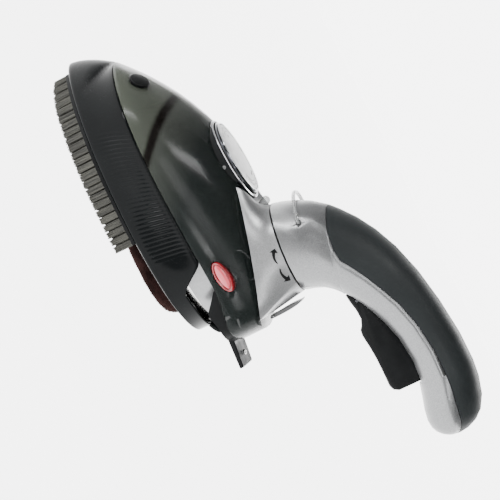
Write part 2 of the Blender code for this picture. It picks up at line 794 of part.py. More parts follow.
def collar_rings(inset, steps=6):
    """Rings from the foot up to the swivel, with a concave flare between them."""
    right = collar_foot()
    foot = right + [(x, -y, z) for x, y, z in reversed(right[1:-1])]
    rings = []
    for k in range(steps + 1):
        t = k / steps
        ring = []
        for x, y, z in foot:
            angle = math.atan2(y, x - SWIVEL.x)
            top = swivel_point(angle, SWIVEL_RADIUS - inset, -GAP)
            low = Vector((x, y, z))
            inward = Vector((SWIVEL.x - x, -y, 0.0)).normalized() * inset
            low += inward
            if inset > 0.0:
                low.z = max(low.z, roof_height(low.x) + GAP)
            reach = (top - low).length
            flare = smoothstep((abs(angle) - 0.7) / 0.7)
            straight = (top - low) / 3
            pull_low = low + Vector((0.0, 0.0, 1.0)) * reach * 0.28 + inward_unit(x, y) * reach * 0.16
            pull_low = pull_low * flare + (low + straight) * (1 - flare)
            pull_top = top - swivel_axis() * reach * 0.34
            ring.append(bezier(low, pull_low, pull_top, top, t))
        rings.append(ring)
    return rings


def inward_unit(x, y):
    return Vector((SWIVEL.x - x, -y, 0.0)).normalized()


def bezier(a, b, c, d, t):
    s = 1 - t
    return a * s ** 3 + b * 3 * s * s * t + c * 3 * s * t * t + d * t ** 3


def make_collar():
    outer = collar_rings(0.0)
    inner = collar_rings(2.3)
    deck = 2.6
    lip = [swivel_point(math.atan2(p[1], p[0] - SWIVEL.x), 15.2, -GAP) for p in outer[0]]
    under = [swivel_point(math.atan2(p[1], p[0] - SWIVEL.x), 15.2, -GAP - deck) for p in outer[0]]
    shoulder = [swivel_point(math.atan2(p[1], p[0] - SWIVEL.x), SWIVEL_RADIUS - 2.3, -GAP - deck) for p in outer[0]]
    inner = inner[:-2]
    rings = outer + [lip, under, shoulder] + list(reversed(inner))
    shell = loft("collar", rings, "silver", joined=True)
    place_at, direction = lens_place()
    hole = rod("lens_bore", place_at - direction * 6.0, place_at + direction * 5.0, 2.9, "silver", 16, CUTTERS)
    cut(shell, hole)
    profile = [(0.0, -3.4), (2.5, -3.4), (2.5, 0.4), (2.2, 1.5), (1.3, 2.2), (0.0, 2.5)]
    lathe("indicator_lens", profile, place_at, direction, "clear", 16, closed=False)
    gland = [(3.4, 1.0), (6.2, 1.0), (6.2, 4.0), (5.0, 5.0), (4.8, 15.0), (3.4, 15.0)]
    lathe("cord_gland", gland, (146.0, 30.4, 50.5), Vector((0.12, 0.95, 0.22)).normalized(), "rubber", 20)


def lens_place():
    return Vector((116.9, 0.0, 65.6)), Vector((-0.45, 0.0, 0.89)).normalized()


def make_swivel():
    axis = swivel_axis()
    spindle = [(10.6, -9.0), (14.7, -9.0), (14.7, 3.0), (22.3, 3.0), (22.3, 5.0), (10.6, 5.0)]
    lathe("swivel_spindle", spindle, SWIVEL, axis, "satin_black", 28)
    retainer = [(15.0, -8.4), (20.0, -8.4), (20.0, -7.0), (15.0, -7.0)]
    lathe("retaining_ring", retainer, SWIVEL, axis, "steel", 24)
    washer = [(15.2, -5.9), (19.4, -5.9), (19.4, -5.1), (15.2, -5.1)]
    lathe("spring_washer", washer, SWIVEL, axis, "steel", 24)
    bush = [(15.4, 0.3), (22.4, 0.3), (22.4, 1.3), (15.4, 1.3)]
    lathe("swivel_bush", bush, SWIVEL, axis, "satin_black", 24)
    rod("feed_tube", SWIVEL - axis * 36.0, SWIVEL - axis * 11.0, 2.0, "clear", 10)


# ---- handle ----
HANDLE_OUTER = (
    (119.9, 67.9), (122.4, 76.6), (127.0, 86.2), (133.4, 94.8), (142.1, 102.8), (151.9, 109.7), (163.6, 115.7),
    (178.2, 121.1), (194.6, 124.9), (211.0, 127.4), (228.0, 129.0), (243.0, 129.1), (256.0, 127.4),
    (266.0, 123.8), (272.8, 118.4), (276.5, 111.0), (277.1, 104.8), (276.3, 101.3),
)
HANDLE_INNER = (
    (170.9, 63.9), (173.2, 71.6), (176.4, 76.6), (180.9, 80.9), (185.6, 84.2), (190.6, 87.0), (196.6, 89.8),
    (203.2, 92.6), (210.9, 95.1), (219.4, 97.1), (230.4, 98.0), (242.0, 97.2), (252.4, 94.5),
    (260.2, 92.3), (266.2, 91.8), (271.0, 93.4), (273.9, 96.2), (275.3, 99.0),
)
HANDLE_WIDTH = (25.5, 25.2, 24.6, 23.6, 22.4, 21.2, 20.2, 19.2, 18.5, 18.1, 18.0, 18.0, 17.8, 16.8, 14.6, 11.0, 7.0, 3.4)
GRIP_SPREAD = (70, 74, 80, 92, 97, 98, 97.5, 96, 91, 89.5, 88, 87, 83, 79, 70, 60, 54, 50)


def handle_value(table, s):
    """Smooth value of a handle table at station s."""
    k = min(max(int(s), 0), len(table) - 2)
    picks = [table[min(max(k + j, 0), len(table) - 1)] for j in (-1, 0, 1, 2)]
    rows = [p if isinstance(p, tuple) else (p,) for p in picks]
    value = catmull(rows, s - k)
    return value if len(value) > 1 else value[0]


def handle_point(s, angle, inset):
    """Point on the handle's skin; angle 0 is the outer (back) edge, 180 the inner edge."""
    outer = Vector(handle_value(HANDLE_OUTER, s))
    inner = Vector(handle_value(HANDLE_INNER, s))
    middle = (outer + inner) / 2
    reach = (outer - inner) / 2
    depth = reach.length
    along = reach / depth
    half = handle_value(HANDLE_WIDTH, s)
    depth = max(depth - inset, 0.2)
    half = max(half - inset, 0.2)
    c = math.cos(angle)
    flat = middle + along * depth * c
    return Vector((flat.x, half * math.sin(angle), flat.y))


def end_angle(s, inset, gap_y):
    """Angle near 180 degrees at which the skin comes down to a distance gap_y from the middle plane."""
    half = max(handle_value(HANDLE_WIDTH, s) - inset, 0.2)
    return math.pi - math.asin(min(gap_y / half, 0.98))


GRIP_START = 3.05
SLOT_START = 3.32
SLOT_END = 11.12
CAVITY_END = 13.6
SPLIT = 0.15


def grip_spread(s):
    """Angle from the handle's back at which the grip ends; its front corner is rounded off."""
    corner = 1 - min(max((s - GRIP_START) / 0.6, 0.0), 1.0)
    return math.radians(handle_value(GRIP_SPREAD, s) - 30.0 * corner ** 2)


def half_section(s, recess, slot):
    """Outer and inner paths of one handle half at station s, as angles with their insets."""
    spread = grip_spread(s)
    gap_y = TRIGGER_HALF_WIDTH + 0.7 if slot else SPLIT
    deep = GRIP_RECESS if recess else 0.0
    shallow = min(deep, handle_value(HANDLE_WIDTH, s) * 0.32)
    start = SPLIT / max(handle_value(HANDLE_WIDTH, s), 1.0)
    outer = []
    for k in range(8):
        outer.append(handle_point(s, start + (spread - start) * k / 7, shallow))
    finish_at = end_angle(s, 0.0, gap_y)
    for k in range(7):
        outer.append(handle_point(s, spread + (finish_at - spread) * k / 6, 0.0))
    wall = SHELL_WALL + GRIP_RECESS * smoothstep((s - 1.2) / 1.6)
    inner = []
    finish_at = end_angle(s, SHELL_WALL, gap_y)
    step = min(spread + 3.2 / handle_value(HANDLE_WIDTH, s), finish_at - 0.3)
    for k in range(8):
        inner.append(handle_point(s, start + (step - start) * k / 7, wall))
    for k in range(7):
        inner.append(handle_point(s, step + (finish_at - step) * k / 6, SHELL_WALL))
    for path in (outer, inner):
        path[0].y = SPLIT
        path[-1].y = gap_y
    return outer, inner


def handle_half(name, side):
    """Half shell: open at the neck, hollow to CAVITY_END and solid beyond it."""
    plan = []
    for s in (0.0, 0.7, 1.4, 2.2, GRIP_START - 0.02):
        plan.append((s, False, False))
    plan.append((GRIP_START, True, False))
    plan.append((GRIP_START + 0.1, True, False))
    plan.append((SLOT_START - 0.01, True, False))
    plan.append((SLOT_START, True, True))
    for s in (3.65, 4.5, 5.5, 6.5, 7.6, 8.8, 10.0):
        plan.append((s, True, True))
    plan.append((SLOT_END, True, True))
    plan.append((SLOT_END + 0.01, True, False))
    for s in (11.8, 12.7):
        plan.append((s, True, False))
    points = []
    faces = []
    count = 15
    previous = None
    for s, recess, slot in plan:
        outer, inner = half_section(s, recess, slot)
        row = len(points)
        points += outer + list(reversed(inner))
        if previous is not None:
            bridge(faces, previous, row, 2 * count)
        else:
            for i in range(count - 1):
                faces.append((row + i, row + i + 1, row + 2 * count - 2 - i, row + 2 * count - 1 - i))
        previous = row
    tail = []
    for s in (CAVITY_END, 14.3, 15.0, 15.7, 16.4, 16.95):
        outer, _ = half_section(s, True, False)
        tail.append(len(points))
        points += outer
    hub = len(points)
    middle = (points[tail[0]] + points[tail[0] + count - 1]) / 2
    middle.y = SPLIT
    points.append(middle)
    for i in range(count - 1):
        faces.append((previous + i, previous + i + 1, tail[0] + i + 1, tail[0] + i))
    for i in range(count - 1):
        faces.append((previous + count + i, previous + count + i + 1, hub))
    faces.append((previous, tail[0], hub, previous + 2 * count - 1))
    faces.append((previous + count - 1, previous + count, hub, tail[0] + count - 1))
    for k in range(len(tail) - 1):
        for i in range(count - 1):
            faces.append((tail[k] + i, tail[k] + i + 1, tail[k + 1] + i + 1, tail[k + 1] + i))
    faces.append((hub, tail[0], tail[1], tail[1] + count - 1, tail[0] + count - 1))
    for k in range(1, len(tail) - 1):
        faces.append((tail[k], tail[k + 1], tail[k + 1] + count - 1, tail[k] + count - 1))
    faces.append(tuple(tail[-1] + i for i in range(count)))
    if side < 0:
        points = [Vector((p.x, -p.y, p.z)) for p in points]
    return build(name, points, faces, "silver")


def make_grip():
    """Soft skin over the back of the handle, from the neck to the tip."""
    rings = []
    marks = [GRIP_START + 0.03, GRIP_START + 0.1, SLOT_START, 3.65, 4.5, 5.5, 6.5, 7.6, 8.8, 10.0, 11.1, 11.8, 12.7, CAVITY_END, 14.3, 15.0]
    marks += [15.7, 16.4, 16.95]
    for s in marks:
        half = handle_value(HANDLE_WIDTH, s)
        spread = grip_spread(s) - 0.35 / half
        deep = min(GRIP_RECESS, half * 0.32) - 0.3
        skin = [handle_point(s, -spread + 2 * spread * k / 16, 0.0) for k in range(17)]
        back = [handle_point(s, spread - 2 * spread * k / 16, deep) for k in range(17)]
        rings.append(skin + back)
    loft_strip("handle_grip", rings, 17, "rubber")


def loft_strip(name, rings, half, material):
    """Loft of thin crescent rings, with the two end faces made of quads across the crescent."""
    count = len(rings[0])
    points = [p for ring in rings for p in ring]
    faces = []
    for k in range(len(rings) - 1):
        bridge(faces, k * count, (k + 1) * count, count)
    for row in (0, (len(rings) - 1) * count):
        for i in range(half - 1):
            faces.append((row + i, row + i + 1, row + count - 2 - i, row + count - 1 - i))
    return build(name, points, faces, material)


def make_trigger():
    profile = [(182.6, 83.0), (186.4, 83.4), (192.6, 84.6), (197.7, 84.8), (201.3, 83.4), (203.3, 81.8)]
    profile += [(206.6, 81.4), (213.5, 82.2), (220.9, 82.7), (229.3, 82.7), (237.4, 82.5), (240.2, 83.6)]
    profile += [(241.8, 86.4), (241.9, 99.4), (236.0, 101.2), (226.0, 101.0), (215.0, 99.4), (203.0, 96.2)]
    profile += [(192.0, 91.6), (184.6, 90.0), (182.9, 86.8)]
    half = TRIGGER_HALF_WIDTH
    lever = extrude_side("trigger", profile, -half, half, "satin_black", None, 1.0)
    bore = rod("trigger_bore", TRIGGER_PIVOT - Vector((0, 12, 0)), TRIGGER_PIVOT + Vector((0, 12, 0)), 1.75, "steel", 12,
               CUTTERS)
    cut(lever, bore)
    rod("trigger_pin", TRIGGER_PIVOT - Vector((0, 9.2, 0)), TRIGGER_PIVOT + Vector((0, 9.2, 0)), 1.45, "steel", 12)


def make_pump():
    body = [(0.0, 14.9), (7.6, 14.9), (7.6, 1.0), (6.5, 1.0), (6.5, 13.2), (0.0, 13.2)]
    lathe("pump_body", body, (PUMP_X, 0.0, 106.6), (0, 0, 1), "satin_black", 20, closed=False)
    plunger = [(0.0, 0.0), (6.0, 0.0), (6.0, 1.2), (3.1, 1.2), (3.1, 12.6), (0.0, 12.6)]
    lathe("pump_plunger", plunger, (PUMP_X, 0.0, 101.4), (0, 0, 1), "ceramic", 16, closed=False)
    path = []
    for k in range(41):
        angle = math.tau * 5 * k / 40
        path.append((PUMP_X + 4.9 * math.cos(angle), 4.9 * math.sin(angle), 103.2 + 15.8 * k / 40))
    tube("pump_spring", path, 0.5, "steel", 0)
    feed = [(206.0, 0.0, 113.0), (190.0, 0.0, 108.0), (172.0, 0.0, 98.0), (156.0, 0.0, 84.0), (149.0, 0.0, 73.0)]
    tube("water_tube", spline(feed, 4), 2.0, "clear")


LOOP_STATION = 1.5
LOOP_HALF_ANGLE = math.radians(57.0)
LOOP_RADIUS = 1.1


def loop_pivot():
    """Centre of the hole on the right side where the bail plugs into the neck."""
    return handle_point(LOOP_STATION, LOOP_HALF_ANGLE, 0.0)


def make_hang_loop(shells):
    """Clear bail round the neck's front, plugged into a hole on each side."""
    pivot = loop_pivot()
    path = [Vector((pivot.x, -pivot.y + 4.2, pivot.z)), Vector((pivot.x, -pivot.y - 0.6, pivot.z))]
    for k in range(17):
        share = -1 + 2 * k / 16
        skin = handle_point(LOOP_STATION, LOOP_HALF_ANGLE * share, 0.0)
        out = (skin - handle_point(LOOP_STATION, LOOP_HALF_ANGLE * share, 1.0)).normalized()
        path.append(skin + out * (2.4 + 2.2 * math.cos(share * math.pi / 2)))
    path.append(Vector((pivot.x, pivot.y + 0.6, pivot.z)))
    path.append(Vector((pivot.x, pivot.y - 4.2, pivot.z)))
    tube("hang_loop", path, LOOP_RADIUS, "clear")
    for shell, side in zip(shells, (-1, 1)):
        start = Vector((pivot.x, side * (pivot.y - 6.0), pivot.z))
        end = Vector((pivot.x, side * (pivot.y + 4.0), pivot.z))
        cut(shell, rod("loop_bore_%s" % ("left" if side < 0 else "right"), start, end, LOOP_RADIUS + 0.3, "clear", 12, CUTTERS))


# ---- heel ----
def heel_low(x):
    """Lower edge of the heel housing: it drops fast at its front, then runs level."""
    if x < 159.0:
        return 23.6 - 8.8 * (x - 149.0) / 10.0
    return 14.8 + 1.6 * smoothstep((x - 159.0) / 11.0)


def make_heel():
    """Housing wall round the tank's heel, with a flat foot that stands out behind it."""
    left = []
    for k in range(15):
        x = 149.0 + 29.6 * math.sin(math.pi / 2 * k / 14)
        left.append((x, -(head_width(x) - 2.6)))
    path = left + [(x, -y) for x, y in reversed(left)]
    rings = []
    for x, y in path:
        out = Vector((x - 140.0, y * 1.4, 0.0)).normalized() * 1.9
        low = heel_low(x)
        high = base_height(x) - 0.4
        inner = Vector((x, y, 0.0)) - out
        rings.append([(x, y, low), (x, y, high), (inner.x, inner.y, high), (inner.x, inner.y, low)])
    wall = loft("heel_rest", rings, "satin_black")
    foot = [(167.0, 15.2), (193.0, 13.6), (193.6, 14.0), (193.6, 15.5), (192.8, 16.0), (181.0, 17.4), (167.0, 18.0)]
    plate = extrude_side("heel_foot", foot, -HEEL_FOOT, HEEL_FOOT, "satin_black", CUTTERS, 0.4)
    cut(wall, plate, "UNION")
    well = [(169.0, 13.0), (190.6, 11.9), (190.6, 15.2), (169.0, 16.4)]
    cut(wall, extrude_side("panel_well", well, 2.2 - HEEL_FOOT, HEEL_FOOT - 2.2, "satin_black", CUTTERS))
    panel = [(169.3, 15.0), (190.3, 13.6), (190.3, 14.8), (169.3, 16.0)]
    extrude_side("heel_panel", panel, 2.5 - HEEL_FOOT, HEEL_FOOT - 2.5, "silver")
    pan_screw("heel_screw", (186.6, -3.0, 17.1), (0.12, 0, 0.99), 1.5)


def make_lock_lever():
    profile = [(174.6, 40.6), (176.7, 40.2), (176.9, 46.0), (176.5, 55.5), (175.4, 59.0), (174.1, 60.2)]
    profile += [(173.4, 59.2), (174.0, 53.5), (174.6, 47.0)]
    lever = extrude_side("swivel_lock_lever", profile, -7.0, 7.0, "grey", None, 0.5)
    pivot = Vector((175.7, 0.0, 42.2))
    bore = rod("lever_bore", pivot - Vector((0, 9, 0)), pivot + Vector((0, 9, 0)), 0.6, "steel", 10, CUTTERS)
    cut(lever, bore)
    rod("lever_pin", pivot - Vector((0, 8.4, 0)), pivot + Vector((0, 8.4, 0)), 0.4, "steel", 10)


clear_scene()
PARTS = make_collection("steam_iron")
CUTTERS = make_collection("cutters", hidden=True)
make_tray()
make_bristles()
make_pad()
make_soleplate()
make_heater()
make_skirt()
make_tank()
make_fill_plug()
make_buttons()
make_dial()
make_collar()
make_swivel()
SHELLS = (handle_half("handle_shell_left", -1), handle_half("handle_shell_right", 1))
make_grip()
make_trigger()
make_pump()
make_hang_loop(SHELLS)
make_heel()
make_lock_lever()
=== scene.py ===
import json
import math
import random

import bmesh
import bpy
from mathutils import Matrix, Vector, noise
from mathutils.bvhtree import BVHTree


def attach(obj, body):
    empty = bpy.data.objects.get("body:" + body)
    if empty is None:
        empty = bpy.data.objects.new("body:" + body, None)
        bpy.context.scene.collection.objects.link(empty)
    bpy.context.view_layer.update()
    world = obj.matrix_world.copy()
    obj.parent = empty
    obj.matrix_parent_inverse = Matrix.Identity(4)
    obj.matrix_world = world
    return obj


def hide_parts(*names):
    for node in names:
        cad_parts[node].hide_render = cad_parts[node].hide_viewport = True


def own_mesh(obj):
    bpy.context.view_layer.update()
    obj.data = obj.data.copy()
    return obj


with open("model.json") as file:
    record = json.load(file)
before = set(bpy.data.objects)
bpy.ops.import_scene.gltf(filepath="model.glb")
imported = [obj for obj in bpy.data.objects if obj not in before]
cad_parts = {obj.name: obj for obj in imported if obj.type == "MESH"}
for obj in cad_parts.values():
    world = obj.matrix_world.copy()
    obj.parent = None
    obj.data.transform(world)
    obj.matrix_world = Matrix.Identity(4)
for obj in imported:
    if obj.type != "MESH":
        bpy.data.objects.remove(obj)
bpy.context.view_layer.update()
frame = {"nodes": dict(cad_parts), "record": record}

NODES = frame["nodes"]

# ---- dimensions, in millimetres from the tray's toe and underside ----
MM = 0.001
MID_X = 138.6
STAND = 12.4
GAP = 0.3
TRAY_LENGTH = 165.0
TRAY_HALF_WIDTH = 47.0
TRAY_WALL = 1.9
TRAY_FLOOR = 3.0
TRAY_TOP = 24.7
TRAY_REAR_TOP = 9.6
TRAY_CUT_START = 131.0
TRAY_CUT_END = 143.0
HEAD_TOE = 11.5
HEAD_HEEL = 180.0
HEAD_HALF_WIDTH = 47.3
HEAD_BASE = 25.0
HEAD_CREST = 41.0
CREST_RUN = 103.5
HEEL_DROP = 4.0
ROOF_START = 103.8
ARCH_POWER = 1.75
SWIVEL = Vector((145.4, 0.0, 65.2))
SWIVEL_TILT = math.radians(4.5)
SWIVEL_RADIUS = 25.4
DIAL = Vector((88.7, 0.0, 62.9))
DIAL_TILT = math.radians(-3.0)
SEAT_RADIUS = 24.2
BRISTLE_COUNT = 24
BRISTLE_WIDTH = 8.5
BRISTLE_FILL = 0.78


def place(point):
    x, y, z = point
    return Vector(((x - MID_X) * MM, y * MM, (z + STAND) * MM))


# ---- camera, lights and floor ----
FLOOR_RADIUS = 1.6
FLOOR_SEGMENTS = 72
FLOOR_GLOW = 5.8
FRONT_GLOW = 0.6
SKY_STRENGTH = 0.16


def make_camera():
    """Level camera on the bristle side, 11 degrees up, rolled so that the iron stands on its heel."""
    elevation = math.radians(11.0)
    distance = 0.95
    roll_x = 0.4445
    roll_z = 0.8958
    back = Vector((0.0, -math.cos(elevation), math.sin(elevation)))
    level_x = Vector((1.0, 0.0, 0.0))
    level_z = back.cross(level_x)
    right = level_x * roll_x + level_z * roll_z
    up = level_z * roll_x - level_x * roll_z
    data = bpy.data.cameras.new("camera")
    data.lens = 124.0
    data.sensor_width = 36.0
    data.clip_end = 50.0
    eye = bpy.data.objects.new("camera", data)
    bpy.context.scene.collection.objects.link(eye)
    target = place((137.6, 0.0, 45.3))
    turn = Matrix((right, up, back)).transposed().to_4x4()
    eye.matrix_world = Matrix.Translation(target + back * distance) @ turn
    bpy.context.scene.camera = eye


def area_light(name, spot, target, size_x, size_y, power):
    data = bpy.data.lights.new(name, "AREA")
    data.shape = "RECTANGLE"
    data.size = size_x
    data.size_y = size_y
    data.energy = power
    lamp = bpy.data.objects.new(name, data)
    bpy.context.scene.collection.objects.link(lamp)
    lamp.location = spot
    lamp.rotation_mode = "QUATERNION"
    lamp.rotation_quaternion = (Vector(target) - Vector(spot)).to_track_quat("-Z", "Y")


def make_stage():
    """Pale round floor that curves up all round, under a soft white sky."""
    work = bmesh.new()
    rows = [(FLOOR_RADIUS, 0.0)]
    for k in range(1, 13):
        angle = math.pi / 2 * k / 12
        rise = FLOOR_RADIUS - FLOOR_RADIUS * math.cos(angle)
        rows.append((FLOOR_RADIUS + FLOOR_RADIUS * math.sin(angle), rise))
    rows.append((2 * FLOOR_RADIUS, 5.0))
    lines = []
    for radius, z in rows:
        ring = []
        for i in range(FLOOR_SEGMENTS):
            angle = math.tau * i / FLOOR_SEGMENTS
            ring.append(work.verts.new((radius * math.cos(angle), radius * math.sin(angle), z)))
        lines.append(ring)
    work.faces.new(lines[0])
    for a, b in zip(lines, lines[1:]):
        for i in range(FLOOR_SEGMENTS):
            j = (i + 1) % FLOOR_SEGMENTS
            work.faces.new((a[i], a[j], b[j], b[i]))
    mesh = bpy.data.meshes.new("floor")
    work.to_mesh(mesh)
    work.free()
    mesh.shade_smooth()
    floor = bpy.data.objects.new("floor", mesh)
    bpy.context.scene.collection.objects.link(floor)
    paint = bpy.data.materials.new("floor_paint")
    paint.use_nodes = True
    shader = paint.node_tree.nodes["Principled BSDF"]
    shader.inputs["Base Color"].default_value = (0.5, 0.5, 0.5, 1.0)
    shader.inputs["Roughness"].default_value = 0.9
    shader.inputs["Emission Color"].default_value = (1.0, 1.0, 1.0, 1.0)
    spot = paint.node_tree.nodes.new("ShaderNodeTexCoord")
    split = paint.node_tree.nodes.new("ShaderNodeSeparateXYZ")
    fade = paint.node_tree.nodes.new("ShaderNodeMapRange")
    fade.interpolation_type = "SMOOTHSTEP"
    fade.inputs["From Min"].default_value = -0.75
    fade.inputs["From Max"].default_value = -0.3
    fade.inputs["To Min"].default_value = FRONT_GLOW
    fade.inputs["To Max"].default_value = FLOOR_GLOW
    paint.node_tree.links.new(spot.outputs["Object"], split.inputs["Vector"])
    paint.node_tree.links.new(split.outputs["Y"], fade.inputs["Value"])
    upper = paint.node_tree.nodes.new("ShaderNodeMapRange")
    upper.interpolation_type = "SMOOTHSTEP"
    upper.inputs["From Min"].default_value = 0.3
    upper.inputs["From Max"].default_value = 0.9
    upper.inputs["To Min"].default_value = 1.0
    upper.inputs["To Max"].default_value = 0.015
    both = paint.node_tree.nodes.new("ShaderNodeMath")
    both.operation = "MULTIPLY"
    paint.node_tree.links.new(split.outputs["Z"], upper.inputs["Value"])
    paint.node_tree.links.new(fade.outputs["Result"], both.inputs[0])
    paint.node_tree.links.new(upper.outputs["Result"], both.inputs[1])
    paint.node_tree.links.new(both.outputs["Value"], shader.inputs["Emission Strength"])
    mesh.materials.append(paint)
    world = bpy.data.worlds.new("studio")
    bpy.context.scene.world = world
    world.use_nodes = True
    sky = world.node_tree.nodes["Background"]
    sky.inputs["Color"].default_value = (1.0, 1.0, 1.0, 1.0)
    sky.inputs["Strength"].default_value = SKY_STRENGTH


make_camera()
make_stage()
area_light("overhead", (-0.25, -0.35, 1.0), (0.0, 0.0, 0.06), 0.2, 0.4, 6.0)
area_light("toe_box", (-0.95, -0.65, 0.35), (0.0, 0.0, 0.06), 0.1, 0.5, 7.0)
area_light("camera_fill", (0.1, -1.2, 0.9), (0.03, 0.0, 0.06), 0.9, 0.5, 9.0)
area_light("front_strip", (0.42, -1.05, 0.36), (0.03, 0.0, 0.07), 0.06, 0.22, 1.6)
area_light("back_box", (0.3, 0.9, 0.7), (0.0, 0.0, 0.06), 0.7, 0.4, 10.0)


# ---- materials ----
class Look:
    """A material whose node tree is built step by step."""

    def __init__(self, name):
        self.material = bpy.data.materials.new(name)
        self.material.use_nodes = True
        self.tree = self.material.node_tree
        self.shader = self.tree.nodes["Principled BSDF"]
        self.place = self.node("ShaderNodeTexCoord").outputs["Object"]

    def node(self, kind, **settings):
        made = self.tree.nodes.new(kind)
        for key, value in settings.items():
            setattr(made, key, value)
        return made

    def link(self, source, target):
        self.tree.links.new(source, target)

    def set(self, **values):
        for key, value in values.items():
            self.shader.inputs[key.replace("_", " ")].default_value = value
        return self

    def stretched(self, scale):
        mapping = self.node("ShaderNodeMapping")
        mapping.inputs["Scale"].default_value = scale
        self.link(self.place, mapping.inputs["Vector"])
        return mapping.outputs["Vector"]

    def noise(self, scale, detail=3.0, vector=None, rough=0.5):
        made = self.node("ShaderNodeTexNoise")
        made.inputs["Scale"].default_value = scale
        made.inputs["Detail"].default_value = detail
        made.inputs["Roughness"].default_value = rough
        self.link(vector or self.place, made.inputs["Vector"])
        return made.outputs["Fac"]

    def ramp(self, value, low, high, from_low=0.35, from_high=0.65):
        """Maps value onto a range of numbers."""
        made = self.node("ShaderNodeMapRange")
        made.inputs["From Min"].default_value = from_low
        made.inputs["From Max"].default_value = from_high
        made.inputs["To Min"].default_value = low
        made.inputs["To Max"].default_value = high
        self.link(value, made.inputs["Value"])
        return made.outputs["Result"]

    def blend(self, value, first, second, from_low=0.35, from_high=0.65):
        """Mixes two colours by value."""
        made = self.node("ShaderNodeValToRGB")
        made.color_ramp.elements[0].position = from_low
        made.color_ramp.elements[0].color = (*first, 1.0)
        made.color_ramp.elements[1].position = from_high
        made.color_ramp.elements[1].color = (*second, 1.0)
        self.link(value, made.inputs["Fac"])
        return made.outputs["Color"]

    def color(self, value, first, second, from_low=0.35, from_high=0.65):
        self.link(self.blend(value, first, second, from_low, from_high), self.shader.inputs["Base Color"])
        return self

    def rough(self, value, low, high):
        self.link(self.ramp(value, low, high), self.shader.inputs["Roughness"])
        return self

    def bump(self, value, depth, strength=1.0):
        """Adds relief of a depth in metres; later calls stack on earlier ones."""
        made = self.node("ShaderNodeBump")
        made.inputs["Distance"].default_value = depth
        made.inputs["Strength"].default_value = strength
        self.link(value, made.inputs["Height"])
        before = self.shader.inputs["Normal"]
        if before.is_linked:
            self.link(before.links[0].from_socket, made.inputs["Normal"])
        self.link(made.outputs["Normal"], before)
        return self


def gloss_black():
    look = Look("gloss_black").set(Specular_IOR_Level=0.055)
    look.color(look.noise(28.0, 4.0), (0.0016, 0.002, 0.0022), (0.0034, 0.004, 0.0042))
    look.rough(look.noise(90.0, 5.0), 0.09, 0.17)
    return look.bump(look.noise(9.0, 1.0), 0.0004, 0.3).material


def satin_black():
    look = Look("satin_black").set(Specular_IOR_Level=0.04)
    look.color(look.noise(40.0), (0.003, 0.0033, 0.0035), (0.006, 0.0064, 0.0066))
    look.rough(look.noise(160.0), 0.3, 0.45)
    return look.bump(look.noise(900.0, 3.0), 0.00002, 0.5).material


def smoked():
    """Dark see-through shell with light painted into its colour: paler at the thin toe as painted light
    shining through, with a painted dark band of shade where the inner wall meets it.
    """
    look = Look("smoked").set(Specular_IOR_Level=0.1, Alpha=0.86)
    axes = look.node("ShaderNodeSeparateXYZ")
    look.link(look.place, axes.inputs["Vector"])
    slope = look.node("ShaderNodeMath", operation="MULTIPLY_ADD")
    slope.inputs[1].default_value = 1.2
    look.link(axes.outputs["Z"], slope.inputs[0])
    look.link(axes.outputs["X"], slope.inputs[2])
    waver = look.node("ShaderNodeMath", operation="MULTIPLY_ADD")
    waver.inputs[1].default_value = 0.006
    look.link(look.noise(26.0, 2.0), waver.inputs[0])
    look.link(slope.outputs["Value"], waver.inputs[2])
    along = look.ramp(waver.outputs["Value"], 0.0, 1.0, -0.080, 0.080)
    # Painted light along the shell: pale at the thin toe where light shines through, a painted dark band of
    # shade at the inner wall, a paler strip behind it, then darker towards the heel.
    painted_light_tint = look.node("ShaderNodeValToRGB")
    painted_light_bands = (
        (0.0, (0.045, 0.050, 0.040)),
        (0.355, (0.034, 0.038, 0.031)),
        (0.375, (0.003, 0.0025, 0.002)),
        (0.40, (0.003, 0.0025, 0.002)),
        (0.42, (0.028, 0.031, 0.027)),
        (0.62, (0.008, 0.010, 0.0095)),
        (1.0, (0.006, 0.008, 0.0075)),
    )
    while len(painted_light_tint.color_ramp.elements) < len(painted_light_bands):
        painted_light_tint.color_ramp.elements.new(0.5)
    for element, (spot, colour) in zip(painted_light_tint.color_ramp.elements, painted_light_bands):
        element.position = spot
        element.color = (*colour, 1.0)
    look.link(along, painted_light_tint.inputs["Fac"])
    look.link(painted_light_tint.outputs["Color"], look.shader.inputs["Base Color"])
    look.rough(look.noise(70.0, 4.0), 0.14, 0.22)
    return look.bump(look.noise(11.0, 1.0), 0.0004, 0.2).material


def silver():
    """Metallic paint with fine flake."""
    look = Look("silver").set(Metallic=0.8)
    look.color(look.noise(2200.0, 2.0), (0.19, 0.193, 0.195), (0.27, 0.273, 0.276))
    look.rough(look.noise(60.0, 4.0), 0.32, 0.39)
    return look.bump(look.noise(1600.0, 2.0), 0.000008, 0.5).material


def steel():
    look = Look("steel").set(Metallic=1.0, Anisotropic=0.3)
    brushed = look.noise(120.0, 4.0, look.stretched((0.6, 14.0, 14.0)))
    look.color(brushed, (0.42, 0.42, 0.41), (0.58, 0.58, 0.57))
    look.rough(brushed, 0.16, 0.3)
    return look.bump(brushed, 0.00001, 0.5).material


def aluminium():
    look = Look("aluminium").set(Metallic=1.0)
    cast = look.noise(240.0, 5.0)
    look.color(cast, (0.35, 0.36, 0.37), (0.5, 0.51, 0.52))
    look.rough(cast, 0.35, 0.55)
    return look.bump(cast, 0.00008, 0.7).material


def chrome():
    look = Look("chrome").set(Metallic=1.0)
    look.color(look.noise(50.0), (0.42, 0.42, 0.44), (0.52, 0.52, 0.53))
    return look.rough(look.noise(120.0, 4.0), 0.03, 0.09).material


def brass():
    look = Look("brass").set(Metallic=1.0)
    look.color(look.noise(180.0, 4.0), (0.46, 0.31, 0.11), (0.62, 0.45, 0.19))
    return look.rough(look.noise(200.0), 0.22, 0.38).material


